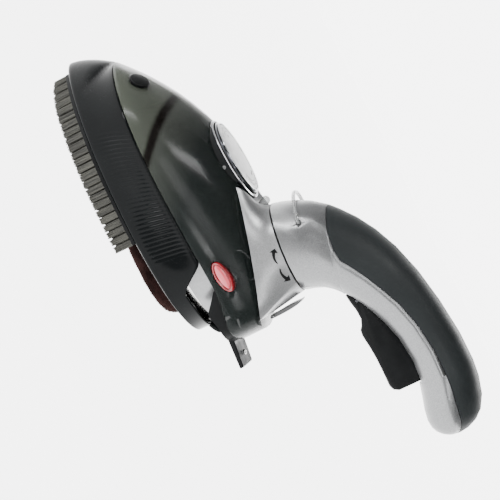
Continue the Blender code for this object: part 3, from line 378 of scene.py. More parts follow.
def rubber():
    """Soft-touch skin with a fine even grain and faint rubbed patches."""
    look = Look("rubber").set(Specular_IOR_Level=0.14, Sheen_Weight=0.05, Sheen_Roughness=0.5)
    look.color(look.noise(22.0, 5.0), (0.004, 0.0054, 0.0058), (0.0068, 0.0088, 0.0093))
    look.rough(look.noise(34.0, 5.0), 0.44, 0.58)
    look.bump(look.noise(1500.0, 2.0), 0.00004, 0.5)
    return look.bump(look.noise(420.0, 3.0), 0.00002, 0.4).material


def bristle():
    """Nylon filaments: streaks run along the fibres, which hang down."""
    look = Look("bristle").set(Specular_IOR_Level=0.25)
    fibre = look.noise(900.0, 3.0, look.stretched((1.0, 1.0, 0.06)))
    look.color(fibre, (0.010, 0.010, 0.008), (0.044, 0.0435, 0.037))
    look.rough(fibre, 0.55, 0.8)
    return look.bump(fibre, 0.0002, 0.9).material


def velvet():
    """Short directional pile: maroon sheen over a near-black ground."""
    look = Look("velvet").set(Roughness=1.0, Specular_IOR_Level=0.02)
    look.set(Sheen_Weight=0.08, Sheen_Roughness=0.4)
    look.set(Sheen_Tint=(0.42, 0.2, 0.18, 1.0))
    pile = look.noise(1100.0, 3.0)
    patch = look.noise(120.0, 4.0)
    look.color(patch, (0.0045, 0.0022, 0.002), (0.012, 0.0055, 0.005), 0.38, 0.62)
    look.bump(patch, 0.0006, 0.5)
    return look.bump(pile, 0.0005, 0.9).material


def red():
    look = Look("red").set(Coat_Weight=0.5, Coat_Roughness=0.03, Specular_IOR_Level=0.4)
    look.color(look.noise(160.0, 2.0), (0.33, 0.003, 0.010), (0.48, 0.006, 0.018))
    return look.rough(look.noise(140.0), 0.1, 0.2).material


def clear():
    look = Look("clear").set(Alpha=0.62, Specular_IOR_Level=0.9)
    look.color(look.noise(90.0), (0.13, 0.135, 0.135), (0.24, 0.245, 0.245))
    return look.rough(look.noise(130.0), 0.03, 0.09).material


def grey():
    look = Look("grey").set(Specular_IOR_Level=0.3)
    look.color(look.noise(60.0), (0.045, 0.046, 0.047), (0.07, 0.071, 0.072))
    look.rough(look.noise(180.0), 0.3, 0.45)
    return look.bump(look.noise(900.0), 0.00002, 0.5).material


def ceramic():
    look = Look("ceramic")
    look.color(look.noise(240.0, 4.0), (0.52, 0.49, 0.43), (0.66, 0.63, 0.57))
    look.rough(look.noise(200.0), 0.5, 0.7)
    return look.bump(look.noise(700.0), 0.00005, 0.6).material


LOOKS = {
    "gloss_black": gloss_black(),
    "satin_black": satin_black(),
    "smoked": smoked(),
    "silver": silver(),
    "steel": steel(),
    "aluminium": aluminium(),
    "chrome": chrome(),
    "brass": brass(),
    "rubber": rubber(),
    "bristle": bristle(),
    "velvet": velvet(),
    "red": red(),
    "clear": clear(),
    "grey": grey(),
    "ceramic": ceramic(),
}
def red_variant(name, low, high, rough_low, rough_high):
    look = Look(name).set(Coat_Weight=0.6, Coat_Roughness=0.03, Specular_IOR_Level=0.4)
    look.color(look.noise(160.0, 2.0), low, high)
    return look.rough(look.noise(140.0), rough_low, rough_high).material


def dial_silver():
    look = Look("dial_silver").set(Metallic=0.15, Specular_IOR_Level=0.5)
    turned = look.noise(300.0, 4.0)
    look.color(turned, (0.52, 0.52, 0.52), (0.68, 0.68, 0.68))
    look.rough(turned, 0.28, 0.4)
    return look.bump(turned, 0.00001, 0.5).material


# A darker copy of the silver paint for the handle shells, as painted shade.
def painted_shade_handle_silver():
    look = Look("painted_shade_handle_silver").set(Metallic=0.9)
    look.color(look.noise(2200.0, 2.0), (0.125, 0.127, 0.129), (0.18, 0.183, 0.185))
    look.rough(look.noise(60.0, 4.0), 0.28, 0.35)
    return look.bump(look.noise(1600.0, 2.0), 0.000008, 0.5).material


# Chrome darkened as painted shade, standing in for dark reflections on the dial band, dial rim and trigger
# pin.
def painted_shade_chrome():
    look = Look("painted_shade_chrome").set(Metallic=1.0)
    look.color(look.noise(50.0), (0.035, 0.036, 0.04), (0.06, 0.061, 0.066))
    return look.rough(look.noise(120.0, 4.0), 0.14, 0.2).material


red_variant("dark_red", (0.10, 0.001, 0.003), (0.17, 0.002, 0.006), 0.12, 0.22)
# Pale red for the button lens: a painted highlight standing for a lamp's reflection on the domed button.
red_variant("painted_highlight_red", (0.36, 0.03, 0.045), (0.5, 0.06, 0.08), 0.1, 0.2)
dial_silver()
painted_shade_handle_silver()
painted_shade_chrome()
SLOT_OF = {entry["node"]: entry["material_slot"] for entry in frame["record"]["subparts"]}
BODY_OF = {}
for body, members in frame["record"]["behaviour"]["bodies"].items():
    for node in members:
        BODY_OF[node] = body
for node, thing in NODES.items():
    thing.data.materials.clear()
    thing.data.materials.append(LOOKS[SLOT_OF[node]])


# ---- mesh helpers ----
def add_piece(name, points, faces, look, body, replaces=(), smooth=40.0):
    """A closed mesh from points in mm, shaded smooth except at edges sharper than the angle."""
    mesh = bpy.data.meshes.new(name)
    mesh.from_pydata([place(p) for p in points], [], faces)
    work = bmesh.new()
    work.from_mesh(mesh)
    bmesh.ops.remove_doubles(work, verts=work.verts, dist=0.000002)
    bmesh.ops.recalc_face_normals(work, faces=work.faces)
    work.to_mesh(mesh)
    work.free()
    mesh.shade_smooth()
    if smooth:
        mesh.set_sharp_from_angle(angle=math.radians(smooth))
    piece = bpy.data.objects.new(name, mesh)
    bpy.context.scene.collection.objects.link(piece)
    mesh.materials.append(LOOKS.get(look) or bpy.data.materials[look])
    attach(piece, body)
    if replaces:
        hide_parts(*replaces)
    return piece


def bridge(faces, first, second, count, closed=True):
    for i in range(count if closed else count - 1):
        j = (i + 1) % count
        faces.append((first + i, first + j, second + j, second + i))


def loft_data(rings, capped=True, joined=False):
    count = len(rings[0])
    points = [p for ring in rings for p in ring]
    faces = []
    for k in range(len(rings) - 1):
        bridge(faces, k * count, (k + 1) * count, count)
    if joined:
        bridge(faces, (len(rings) - 1) * count, 0, count)
    elif capped:
        last = (len(rings) - 1) * count
        faces.append(tuple(range(count)))
        faces.append(tuple(range(last, last + count)))
    return points, faces


def frame_from(origin, axis):
    turn = Vector((0.0, 0.0, 1.0)).rotation_difference(Vector(axis)).to_matrix().to_4x4()
    return Matrix.Translation(origin) @ turn


def lathe_data(profile, origin, axis, segments=96, closed=True):
    local = frame_from(origin, axis)
    points = []
    rows = []
    for radius, height in profile:
        count = 1 if radius < 1e-6 else segments
        rows.append((len(points), count))
        for i in range(count):
            angle = math.tau * i / segments
            points.append(local @ Vector((radius * math.cos(angle), radius * math.sin(angle), height)))
    faces = []
    pairs = list(zip(rows, rows[1:]))
    if closed:
        pairs.append((rows[-1], rows[0]))
    for (a, count_a), (b, count_b) in pairs:
        for i in range(segments):
            j = (i + 1) % segments
            if count_a == 1 and count_b > 1:
                faces.append((a, b + j, b + i))
            elif count_b == 1 and count_a > 1:
                faces.append((a + i, a + j, b))
            elif count_a > 1:
                faces.append((a + i, a + j, b + j, b + i))
    return points, faces


def rounded(profile, radius, steps=4, closed=True):
    """A profile with its corners replaced by small arcs."""
    result = []
    count = len(profile)
    for k, (x, z) in enumerate(profile):
        if not closed and k in (0, count - 1):
            result.append((x, z))
            continue
        here = Vector((x, z))
        before = Vector(profile[k - 1])
        after = Vector(profile[(k + 1) % count])
        reach_in = min(radius, (before - here).length * 0.45)
        reach_out = min(radius, (after - here).length * 0.45)
        start = here + (before - here).normalized() * reach_in
        end = here + (after - here).normalized() * reach_out
        for i in range(steps + 1):
            t = i / steps
            p = start * (1 - t) ** 2 + here * 2 * t * (1 - t) + end * t * t
            result.append((max(p.x, 0.0), p.y))
    return result


def catmull(four, t):
    a, b, c, d = four
    point = []
    for p0, p1, p2, p3 in zip(a, b, c, d):
        value = 2 * p1 + (p2 - p0) * t
        value += (2 * p0 - 5 * p1 + 4 * p2 - p3) * t ** 2
        value += (3 * p1 - p0 - 3 * p2 + p3) * t ** 3
        point.append(value / 2)
    return tuple(point)


def spline(controls, steps, closed=False):
    if closed:
        ends = [controls[-1]] + list(controls) + [controls[0], controls[1]]
    else:
        ends = [tuple(2 * a - b for a, b in zip(controls[0], controls[1]))] + list(controls)
        ends.append(tuple(2 * a - b for a, b in zip(controls[-1], controls[-2])))
    result = []
    for k in range(1, len(ends) - 2):
        for i in range(steps):
            result.append(catmull(ends[k - 1:k + 3], i / steps))
    if not closed:
        result.append(tuple(controls[-1]))
    return result


def smoothstep(t):
    t = min(max(t, 0.0), 1.0)
    return t * t * (3 - 2 * t)


# ---- outlines ----
def egg_width(u, widest=0.56, heel_power=2.2):
    u = min(max(u, 0.0), 1.0)
    if u < widest:
        return (1 - (1 - u / widest) ** 2.1) ** (1 / 1.5)
    return (1 - ((u - widest) / (1 - widest)) ** heel_power) ** 0.5


def head_width(x):
    u = min(max((x - HEAD_TOE) / (HEAD_HEEL - HEAD_TOE), 0.0), 1.0)
    if u < 0.4:
        return HEAD_HALF_WIDTH * (1 - (1 - u / 0.4) ** 2.2) ** (1 / 1.8)
    body = 1 - 0.33 * smoothstep((u - 0.4) / 0.6)
    corner = 1.0
    if u > 0.9:
        corner = (1 - ((u - 0.9) / 0.1) ** 3.5) ** 0.5
    return HEAD_HALF_WIDTH * body * corner


def stations(low, high, count):
    return [low + (high - low) * (1 - math.cos(math.pi * k / count)) / 2 for k in range(count + 1)]


# ---- brush tray ----
def tray_toe(z):
    return HEAD_TOE * (min(max(z, 0.0), 25.0) / 25.0) ** 1.7


def tray_top(x):
    """Top edge of the tray wall, with the corners of its cut-out rounded."""
    fall = (x - TRAY_CUT_START) / (TRAY_CUT_END - TRAY_CUT_START)
    if fall <= -0.1:
        return TRAY_TOP
    soft = min(max((fall + 0.1) / 1.2, 0.0), 1.0)
    eased = 0.5 * soft + 0.5 * smoothstep(soft)
    share = min(eased, fall if fall > 0.5 else 1.0)
    return max(TRAY_TOP - (TRAY_TOP - TRAY_REAR_TOP) * share, TRAY_REAR_TOP)


RIB_FIRST = 45.0
RIB_LAST = 123.0
RIB_PITCH = 2.45
RIB_DEPTH = 0.6


def groove(x, share):
    """Depth between the fine upright ribs moulded on the tray's side; it fades out downwards."""
    if x < RIB_FIRST or x > RIB_LAST:
        return 0.0
    ends = min(smoothstep((share - 0.08) / 0.45), smoothstep((0.93 - share) / 0.05))
    ends *= min(smoothstep((x - RIB_FIRST) / 5.0), smoothstep((RIB_LAST - x) / 4.0)) * 0.7 + 0.3
    phase = ((x - RIB_FIRST) / RIB_PITCH) % 1.0
    return RIB_DEPTH * (1 - math.sin(math.pi * phase) ** 1.6) * ends


def tray_stations():
    xs = [x for x in stations(0.0, TRAY_LENGTH, 90) if x < RIB_FIRST - 0.4 or x > RIB_LAST + 0.4]
    k = RIB_FIRST
    while k <= RIB_LAST:
        xs.append(k)
        k += RIB_PITCH / 8
    xs += [TRAY_CUT_START + (TRAY_CUT_END - TRAY_CUT_START) * t / 12 for t in range(-2, 14)]
    xs = sorted(set(round(x, 3) for x in xs))
    return [(x, -1) for x in xs] + [(x, 1) for x in reversed(xs[1:-1])]


def tray_ring(share, inset, floor=0.0, ribbed=True):
    ring = []
    for x0, side in tray_stations():
        height = floor + (tray_top(x0) - floor) * share
        share_x = x0 / TRAY_LENGTH
        toe = tray_toe(height)
        skin_x = toe + (TRAY_LENGTH - toe) * share_x
        x = toe + inset + (TRAY_LENGTH - toe - 2 * inset) * share_x
        blend = smoothstep(height / 25.0)
        low = TRAY_HALF_WIDTH * egg_width(share_x)
        high = max(head_width(skin_x), low * 0.9) if x0 < 60.0 else head_width(skin_x)
        high *= min(x0 / 0.4, 1.0)
        width = (low * (1 - blend) + high * blend) * (1 - inset / TRAY_HALF_WIDTH)
        if ribbed:
            width -= groove(x0, share)
        ring.append((x, side * width, height))
    return ring


def make_tray():
    shares = [(0.0, 1.5), (0.01, 0.9), (0.03, 0.35), (0.06, 0.05), (0.09, 0.0), (0.13, 0.0), (0.145, 0.0)]
    shares += [(0.16 + 0.06 * k, 0.0) for k in range(12)]
    shares += [(0.88, 0.0), (0.905, 0.0), (0.96, 0.0), (0.985, 0.12), (1.0, 0.5)]
    rings = [tray_ring(share, inset) for share, inset in shares]
    rings.append(tray_ring(1.0, TRAY_WALL - 0.2, 0.0, False))
    rings.append(tray_ring(0.5, TRAY_WALL, TRAY_FLOOR, False))
    rings.append(tray_ring(0.0, TRAY_WALL, TRAY_FLOOR, False))
    points, faces = loft_data(rings)
    add_piece("tray_shell", points, faces, "gloss_black", "lint_brush", ("brush_tray",), 55.0)
    tab = [(160.0, 3.4), (164.0, 6.4), (168.5, 8.8), (171.0, 11.0)]
    tab += [(170.4, 12.2), (166.5, 11.4), (162.0, 9.0), (160.0, 7.0)]
    slab("tray_tab", spline(tab, 4, True), 9.0, 1.6, "gloss_black", "lint_brush")


def slab(name, side_outline, half, round_edge, look, body, replaces=()):
    """Outline in X and Z pulled along Y with rounded long edges."""
    centre = Vector((0.0, 0.0))
    for x, z in side_outline:
        centre += Vector((x, z))
    centre /= len(side_outline)
    steps = 5
    marks = []
    for k in range(steps + 1):
        angle = math.pi / 2 * k / steps
        marks.append((-half + round_edge * (1 - math.cos(angle)), round_edge * (1 - math.sin(angle))))
    rings = []
    for y, pull in marks + [(-y, pull) for y, pull in reversed(marks)]:
        ring = []
        for x, z in side_outline:
            away = centre - Vector((x, z))
            step = away.normalized() * min(pull, away.length * 0.6)
            ring.append((x + step.x, y, z + step.y))
        rings.append(ring)
    points, faces = loft_data(rings)
    return add_piece(name, points, faces, look, body, replaces, 35.0)


def refine(name, node, look=None):
    """A smooth-shaded stand-in for a CAD part, in the same place and on the same body."""
    source = NODES[node]
    mesh = source.data.copy()
    mesh.name = name
    work = bmesh.new()
    work.from_mesh(mesh)
    bmesh.ops.remove_doubles(work, verts=work.verts, dist=0.000004)
    bmesh.ops.dissolve_degenerate(work, edges=work.edges, dist=0.000004)
    bmesh.ops.recalc_face_normals(work, faces=work.faces)
    work.to_mesh(mesh)
    work.free()
    mesh.shade_smooth()
    mesh.set_sharp_from_angle(angle=math.radians(38.0))
    mesh.materials.clear()
    mesh.materials.append(look or LOOKS[SLOT_OF[node]])
    piece = bpy.data.objects.new(name, mesh)
    bpy.context.scene.collection.objects.link(piece)
    even = piece.modifiers.new("even", "WEIGHTED_NORMAL")
    even.keep_sharp = True
    even.weight = 60
    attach(piece, BODY_OF[node])
    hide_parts(node)


make_tray()
LATER = ("lint_pad", "bristle_strip", "brush_tray", "dial_face", "dial_ring", "release_button_left",
         "release_button_right", "collar", "swivel_lock_lever", "dial_bezel")
for node in sorted(NODES):
    if node not in LATER:
        paint = None
        # Handle shells take the darker copy of the silver: painted shade.
        if node.startswith("handle_shell"):
            paint = bpy.data.materials["painted_shade_handle_silver"]
        # The trigger pin end takes the darkened chrome: painted shade over its bright end.
        if node == "trigger_pin":
            paint = bpy.data.materials["painted_shade_chrome"]
        refine(node + "_skin", node, paint)


# ---- bristles ----
BRISTLE_FIRST = 4.6
BRISTLE_PITCH = 4.35


def bristle_edge(x, inset):
    """Point beside the tray's left edge, moved inward by a given distance."""
    y = -TRAY_HALF_WIDTH * egg_width(x / TRAY_LENGTH)
    y_next = -TRAY_HALF_WIDTH * egg_width((x + 1.0) / TRAY_LENGTH)
    along = Vector((1.0, y_next - y, 0.0)).normalized()
    inward = Vector((-along.y, along.x, 0.0))
    return Vector((x, y, 0.0)) + inward * inset


def bristle_tip(x):
    """The strip's trimmed ends: shorter at the toe."""
    return -STAND + 2.6 * (1 - smoothstep((x - 3.0) / 20.0)) ** 1.4


def make_bristles():
    rng = random.Random(11)
    rings = []
    marks = []
    for k in range(BRISTLE_COUNT):
        marks += [BRISTLE_FIRST + k * BRISTLE_PITCH, BRISTLE_FIRST + (k + BRISTLE_FILL) * BRISTLE_PITCH]
    for x in marks:
        a = bristle_edge(x, 1.9)
        b = bristle_edge(x, 1.9 + BRISTLE_WIDTH)
        rings.append([(a.x, a.y, -GAP), (a.x, a.y, -2.0), (b.x, b.y, -2.0), (b.x, b.y, -GAP)])
    points, faces = loft_data(rings)
    add_piece("bristle_rail", points, faces, "satin_black", "lint_brush")
    points = []
    faces = []
    columns = 6
    rows = 11
    for k in range(BRISTLE_COUNT):
        lean = rng.uniform(-0.25, 0.25)
        for i in range(columns):
            x = BRISTLE_FIRST + (k + BRISTLE_FILL * (i + 0.5) / columns) * BRISTLE_PITCH
            for j in range(rows):
                inset = 2.2 + (BRISTLE_WIDTH - 0.6) * j / (rows - 1)
                root = bristle_edge(x + rng.uniform(-0.08, 0.08), inset + rng.uniform(-0.12, 0.12))
                tip = max(bristle_tip(x) + abs(rng.gauss(0.0, 0.32)), -STAND)
                sway = Vector((lean + rng.gauss(0.0, 0.14), rng.gauss(0.0, 0.16), 0.0))
                strand(points, faces, root, tip, sway, 0.36)
        for i in range(4):
            x = BRISTLE_FIRST + (k + BRISTLE_FILL + (1 - BRISTLE_FILL) * i / 3) * BRISTLE_PITCH
            if k == BRISTLE_COUNT - 1:
                continue
            for inset in (4.6, 6.4, 8.2, 9.6):
                root = bristle_edge(x, inset + rng.uniform(-0.2, 0.2))
                tip = bristle_tip(x) + 1.2 + rng.uniform(0.0, 0.5)
                strand(points, faces, root, tip, Vector((rng.gauss(0.0, 0.1), 0.0, 0.0)), 0.36)
    add_piece("bristle_tufts", points, faces, "bristle", "lint_brush", ("bristle_strip",), 50.0)


def strand(points, faces, root, tip, sway, radius):
    """One filament of five sides, narrowing to its end."""
    sides = 5
    start = len(points)
    length = -1.9 - tip
    for share, scale in ((0.0, 1.0), (0.55, 0.96), (0.93, 0.88), (1.0, 0.5)):
        for i in range(sides):
            angle = math.tau * i / sides
            x = root.x + sway.x * share * share + radius * scale * math.cos(angle)
            y = root.y + sway.y * share * share + radius * scale * math.sin(angle)
            points.append((x, y, -1.9 - length * share))
    for k in range(3):
        bridge(faces, start + k * sides, start + (k + 1) * sides, sides)
    faces.append(tuple(start + i for i in range(sides)))
    faces.append(tuple(start + 3 * sides + i for i in range(sides)))


make_bristles()


# ---- lint pad ----
PAD_RUN = (
    (0.975, -1.8), (0.99, -2.6), (1.0, -3.8), (1.0, -6.0), (0.99, -7.6), (0.965, -9.2),
    (0.93, -10.6), (0.87, -11.7), (0.78, -12.2), (0.66, -12.3), (0.45, -12.35), (0.22, -12.35),
)
PAD_CENTRE = (119.5, 6.5)
PAD_HALF_LENGTH = 32.0
PAD_HALF_WIDTH = 30.0
PILE_COUNT = 5200


def pad_point(scale, z, angle):
    c = math.cos(angle)
    s = math.sin(angle)
    x = math.copysign(abs(c) ** (2 / 2.4), c) * PAD_HALF_LENGTH * scale
    y = math.copysign(abs(s) ** (2 / 2.4), s) * PAD_HALF_WIDTH * scale
    return Vector((PAD_CENTRE[0] + x, PAD_CENTRE[1] + y, z))


def make_pad():
    """Stuffed pad with an uneven nap, and short pile standing on it."""
    count = 120
    rings = []
    for k in range((len(PAD_RUN) - 1) * 3 + 1):
        scale, z = catmull(picks(PAD_RUN, k / 3), k / 3 - min(k // 3, len(PAD_RUN) - 2))
        ring = []
        for i in range(count):
            p = pad_point(scale, z, math.tau * i / count)
            centre = Vector((*PAD_CENTRE, -6.0))
            swell = 0.28 * noise.noise(p * 0.16) + 0.12 * noise.noise(p * 0.6)
            p += (p - centre).normalized() * (swell - 0.2)
            p.z = max(p.z, -STAND)
            ring.append(tuple(p))
        rings.append(ring)
    points, faces = loft_data(rings)
    pad = add_piece("pad_cushion", points, faces, "velvet", "lint_brush", ("lint_pad",), 0)
    rng = random.Random(5)
    points = []
    faces = []
    for _ in range(PILE_COUNT):
        k = rng.randrange(1, len(rings) - 1)
        i = rng.randrange(count)
        root = Vector(rings[k][i])
        side = Vector(rings[k][(i + 1) % count])
        up = Vector(rings[k + 1][i])
        mix = root.lerp(side, rng.random()).lerp(up, rng.random() * 0.9)
        out = (side - root).cross(up - root).normalized()
        if out.dot(mix - Vector((*PAD_CENTRE, -5.0))) < 0.0:
            out = -out
        tip = mix + out * rng.uniform(0.25, 0.55)
        tip += Vector((rng.uniform(-0.2, 0.2), rng.uniform(-0.2, 0.2), -0.12))
        tip.z = max(tip.z, -STAND)
        base = len(points)
        across = out.orthogonal().normalized()
        for turn in range(3):
            angle = math.tau * turn / 3
            around = across * math.cos(angle) + out.cross(across) * math.sin(angle)
            points.append(tuple(mix - out * 0.05 + around * 0.09))
        points.append(tuple(tip))
        faces += [(base, base + 1, base + 3), (base + 1, base + 2, base + 3)]
        faces += [(base + 2, base, base + 3), (base, base + 2, base + 1)]
    add_piece("pad_pile", points, faces, "velvet", "lint_brush", (), 0)


def picks(rows, s):
    k = min(int(s), len(rows) - 2)
    return [rows[min(max(k + j, 0), len(rows) - 1)] for j in (-1, 0, 1, 2)]


make_pad()


# ---- dial ----
def dial_axis():
    return Vector((math.sin(DIAL_TILT), 0.0, math.cos(DIAL_TILT)))


def dial_piece(name, profile, look, body="dial", replaces=()):
    points, faces = lathe_data(profile, DIAL, dial_axis(), 128)
    return add_piece(name, points, faces, look, body, replaces, 32.0)


def dial_mark(points, faces, radius, angle, length, width, low, high, turn=0.0):
    """A small raised bar on the dial's face, in the dial's own plane."""
    local = frame_from(DIAL, dial_axis())
    base = len(points)
    c = math.cos(angle)
    s = math.sin(angle)
    for z in (low, high):
        for r, w in ((-0.5, -0.5), (0.5, -0.5), (0.5, 0.5), (-0.5, 0.5)):
            along = r * length
            across = w * width
            a = along * math.cos(turn) - across * math.sin(turn)
            b = along * math.sin(turn) + across * math.cos(turn)
            points.append(local @ Vector(((radius + a) * c - b * s, (radius + a) * s + b * c, z)))
    faces += [(base, base + 3, base + 2, base + 1), (base + 4, base + 5, base + 6, base + 7)]
    bridge(faces, base, base + 4, 4)


def face_height(radius):
    if radius > 19.4:
        return -0.1
    if radius > 13.0:
        return 0.85 - 0.6 * (radius - 13.0) / 6.4
    return 1.25 - 0.4 * radius / 13.0


def make_dial():
    face = [(0.0, -1.0), (20.1, -1.0), (20.1, -0.1), (19.4, 0.25), (13.0, 0.85), (0.0, 1.25)]
    face = rounded(face, 0.5, 4, False)
    dial_piece("dial_plate", face, "dial_silver", replaces=("dial_face",))
    band = [(17.0, -3.4), (21.0, -3.4), (22.0, -2.8), (22.0, -1.0)]
    band += [(21.2, -0.1), (20.4, -0.2), (20.4, -1.3), (17.0, -1.3)]
    # Painted shade: the band and the rim take the darkened chrome.
    dial_piece("dial_band", rounded(band, 0.4), "painted_shade_chrome", replaces=("dial_ring",))
    bead = [(21.15, -0.35), (21.45, -0.25), (21.35, 0.0), (21.0, 0.12), (20.6, 0.05), (20.5, -0.2)]
    dial_piece("dial_bead", rounded(bead, 0.1), "chrome")
    bezel = [(22.6, -3.1), (24.2, -3.1), (24.0, -2.3), (22.8, -2.1)]
    dial_piece("dial_rim", rounded(bezel, 0.25), "painted_shade_chrome", "head", ("dial_bezel",))
    line = [(23.55, -2.35), (24.1, -2.6), (24.15, -2.35), (23.8, -2.1), (23.5, -2.08)]
    dial_piece("dial_rim_line", line, "chrome", "head")
    points = []
    faces = []
    for k in range(28):
        angle = math.radians(225.0 - 270.0 * k / 27)
        long = k % 3 == 0
        radius = 17.6
        lift = face_height(radius)
        dial_mark(points, faces, radius, angle, 2.0 if long else 1.1, 0.34, lift - 0.12, lift + 0.09)
    for k in range(60):
        angle = math.radians(225.0 - 270.0 * k / 60 - 2.25)
        lift = face_height(15.6)
        dial_mark(points, faces, 15.6, angle, 0.3, 1.3 if k % 20 > 2 else 0.1, lift - 0.12, lift + 0.07)
    for k in range(3):
        for j in range(k + 1):
            angle = math.radians(190.0 - 82.0 * k) - 0.16 * (j - k / 2)
            lift = face_height(12.4)
            dial_mark(points, faces, 12.4, angle, 1.1, 1.1, lift - 0.12, lift + 0.09, math.pi / 4)
    add_piece("dial_marks", points, faces, "grey", "dial", (), 20.0)
    pointer = [(0.0, -0.6), (1.3, -0.6), (1.3, 0.1), (0.9, 0.4), (0.0, 0.5)]
    axis = dial_axis()
    out = Vector((0.12, -1.0, 0.0)).normalized()
    points, faces = lathe_data(rounded(pointer, 0.3, 3, False), DIAL + out * 23.9 - axis * 5.6, out, 32)
    add_piece("dial_pointer", points, faces, "grey", "head")


make_dial()


# ---- release buttons ----
def oval_rings(side, steps, segments=72):
    rings = []
    for y, long_half, short_half in steps:
        ring = []
        for i in range(segments):
            angle = math.tau * i / segments
            u = long_half * math.cos(angle)
            v = short_half * math.sin(angle)
            ring.append((144.0 + u * 0.994 - v * 0.11, side * y, 32.6 + u * 0.11 + v * 0.994))
        rings.append(ring)
    return rings


def make_buttons():
    for side, word in ((-1, "left"), (1, "right")):
        body = [(31.0, 9.2, 4.1), (36.2, 9.2, 4.1), (36.9, 9.0, 3.95), (37.4, 8.6, 3.6), (37.5, 8.1, 3.1)]
        body += [(37.3, 7.6, 2.75), (36.9, 7.3, 2.5)]
        points, faces = loft_data(oval_rings(side, body))
        add_piece("button_rim_" + word, points, faces, "dark_red", "release_" + word,
                  ("release_button_" + word,), 40.0)
        # The lens cap is painted paler red, as a painted highlight.
        cap = [(36.7, 7.2, 2.4), (37.1, 7.1, 2.35), (37.45, 6.7, 2.1), (37.7, 5.6, 1.6), (37.8, 3.6, 0.9)]
        points, faces = loft_data(oval_rings(side, cap))
        add_piece("button_lens_" + word, points, faces, "painted_highlight_red", "release_" + word, (), 60.0)


make_buttons()


# ---- collar ----
def base_height(x):
    return HEAD_BASE - HEEL_DROP * smoothstep((x - 150.0) / 26.0)


def crest_height(x):
    v = min(max((x - HEAD_TOE) / CREST_RUN, 0.0), 1.0)
    return HEAD_BASE + HEAD_CREST * (1 - (1 - v) ** 2.4)


def roof_height(x):
    t = min(max((x - 100.0) / 80.0, 0.0), 1.0)
    return 58.5 - 21.2 * t ** 1.25 - 2.0 * t ** 6


def arch(width, height, lift):
    share = min(max(lift / height, 0.0), 1.0)
    return width * (1 - share ** ARCH_POWER) ** (1 / ARCH_POWER)


def crease_point(x):
    base = base_height(x)
    full = crest_height(x) - base
    level = max(min(roof_height(x) - base, full * 0.985), 0.15)
    return (x, arch(head_width(x), full, level), base + level + GAP)


def swivel_axis():
    return Vector((math.sin(SWIVEL_TILT), 0.0, math.cos(SWIVEL_TILT)))


def swivel_point(angle, radius, lift):
    local = frame_from(SWIVEL, swivel_axis())
    return local @ Vector((radius * math.cos(angle), radius * math.sin(angle), lift))


def collar_foot():
    """Lower rim of the collar, right half from the dial round to the heel, then mirrored."""
    right = []
    radius = SEAT_RADIUS + 0.5
    widest = math.acos((ROOF_START + 0.4 - DIAL.x) / radius)
    for k in range(16):
        angle = widest * k / 15
        x = DIAL.x + radius * math.cos(angle)
        right.append((x, radius * math.sin(angle), roof_height(x) + GAP))
    for k in range(41):
        right.append(crease_point(ROOF_START + 0.4 + (173.4 - ROOF_START) * math.sin(math.pi / 2 * k / 40)))
    tip = right[-1]
    right.append((tip[0] + 0.3, tip[1] * 0.8, tip[2]))
    right.append((tip[0] + 0.5, tip[1] * 0.55, tip[2]))
    right.append((tip[0] + 0.65, tip[1] * 0.25, tip[2]))
    right.append((tip[0] + 0.7, 0.0, tip[2]))
    return right + [(x, -y, z) for x, y, z in reversed(right[1:-1])]


def bezier(a, b, c, d, t):
    s = 1 - t
    return a * s ** 3 + b * 3 * s * s * t + c * 3 * s * t * t + d * t ** 3


def collar_rings(inset, steps=14):
    """Rings from the foot up to the swivel; the sides are near straight, with a short lip on top."""
    rings = []
    for k in range(steps + 1):
        t = k / steps
        ring = []
        for x, y, z in collar_foot():
            angle = math.atan2(y, x - SWIVEL.x)
            top = swivel_point(angle, SWIVEL_RADIUS - inset, -GAP)
            low = Vector((x, y, z)) + Vector((SWIVEL.x - x, -y, 0.0)).normalized() * inset
            if inset > 0.0:
                low.z = max(low.z, roof_height(low.x) + GAP)
            reach = (top - low).length
            third = (top - low) / 3
            side = smoothstep((abs(angle) - 0.5) / 0.8)
            pull_low = low + third.lerp(Vector((0.0, 0.0, reach * 0.3)), 0.35 * side)
            pull_top = top - third.lerp(swivel_axis() * reach * 0.3, 0.55 * side)
            ring.append(bezier(low, pull_low, pull_top, top, t))
        rings.append(ring)
    return rings


def make_collar():
    outer = collar_rings(0.0)
    inner = collar_rings(2.3)[:-4]
    deck = 2.6
    angles = [math.atan2(p[1], p[0] - SWIVEL.x) for p in outer[0]]
    lip = [swivel_point(a, 15.2, -GAP) for a in angles]
    under = [swivel_point(a, 15.2, -GAP - deck) for a in angles]
    shoulder = [swivel_point(a, SWIVEL_RADIUS - 2.3, -GAP - deck) for a in angles]
    rings = outer + [lip, under, shoulder] + list(reversed(inner))
    points, faces = loft_data(rings, joined=True)
    skin = add_piece("collar_skin", points, faces, "silver", "head", ("collar",), 35.0)
    spot = Vector((116.9, 0.0, 65.6))
    out = Vector((-0.45, 0.0, 0.89)).normalized()
    points, faces = lathe_data([(0.0, -6.0), (2.9, -6.0), (2.9, 5.0), (0.0, 5.0)], spot, out, 32, False)
    cutter = add_piece("lens_bore", points, faces, "silver", "head")
    bore = skin.modifiers.new("bore", "BOOLEAN")
    bore.object = cutter
    bore.solver = "EXACT"
    bpy.context.view_layer.update()
    cut = bpy.data.meshes.new_from_object(skin.evaluated_get(bpy.context.evaluated_depsgraph_get()))
    skin.modifiers.clear()
    skin.data = cut
    bpy.data.objects.remove(cutter)
    cut.set_sharp_from_angle(angle=math.radians(35.0))


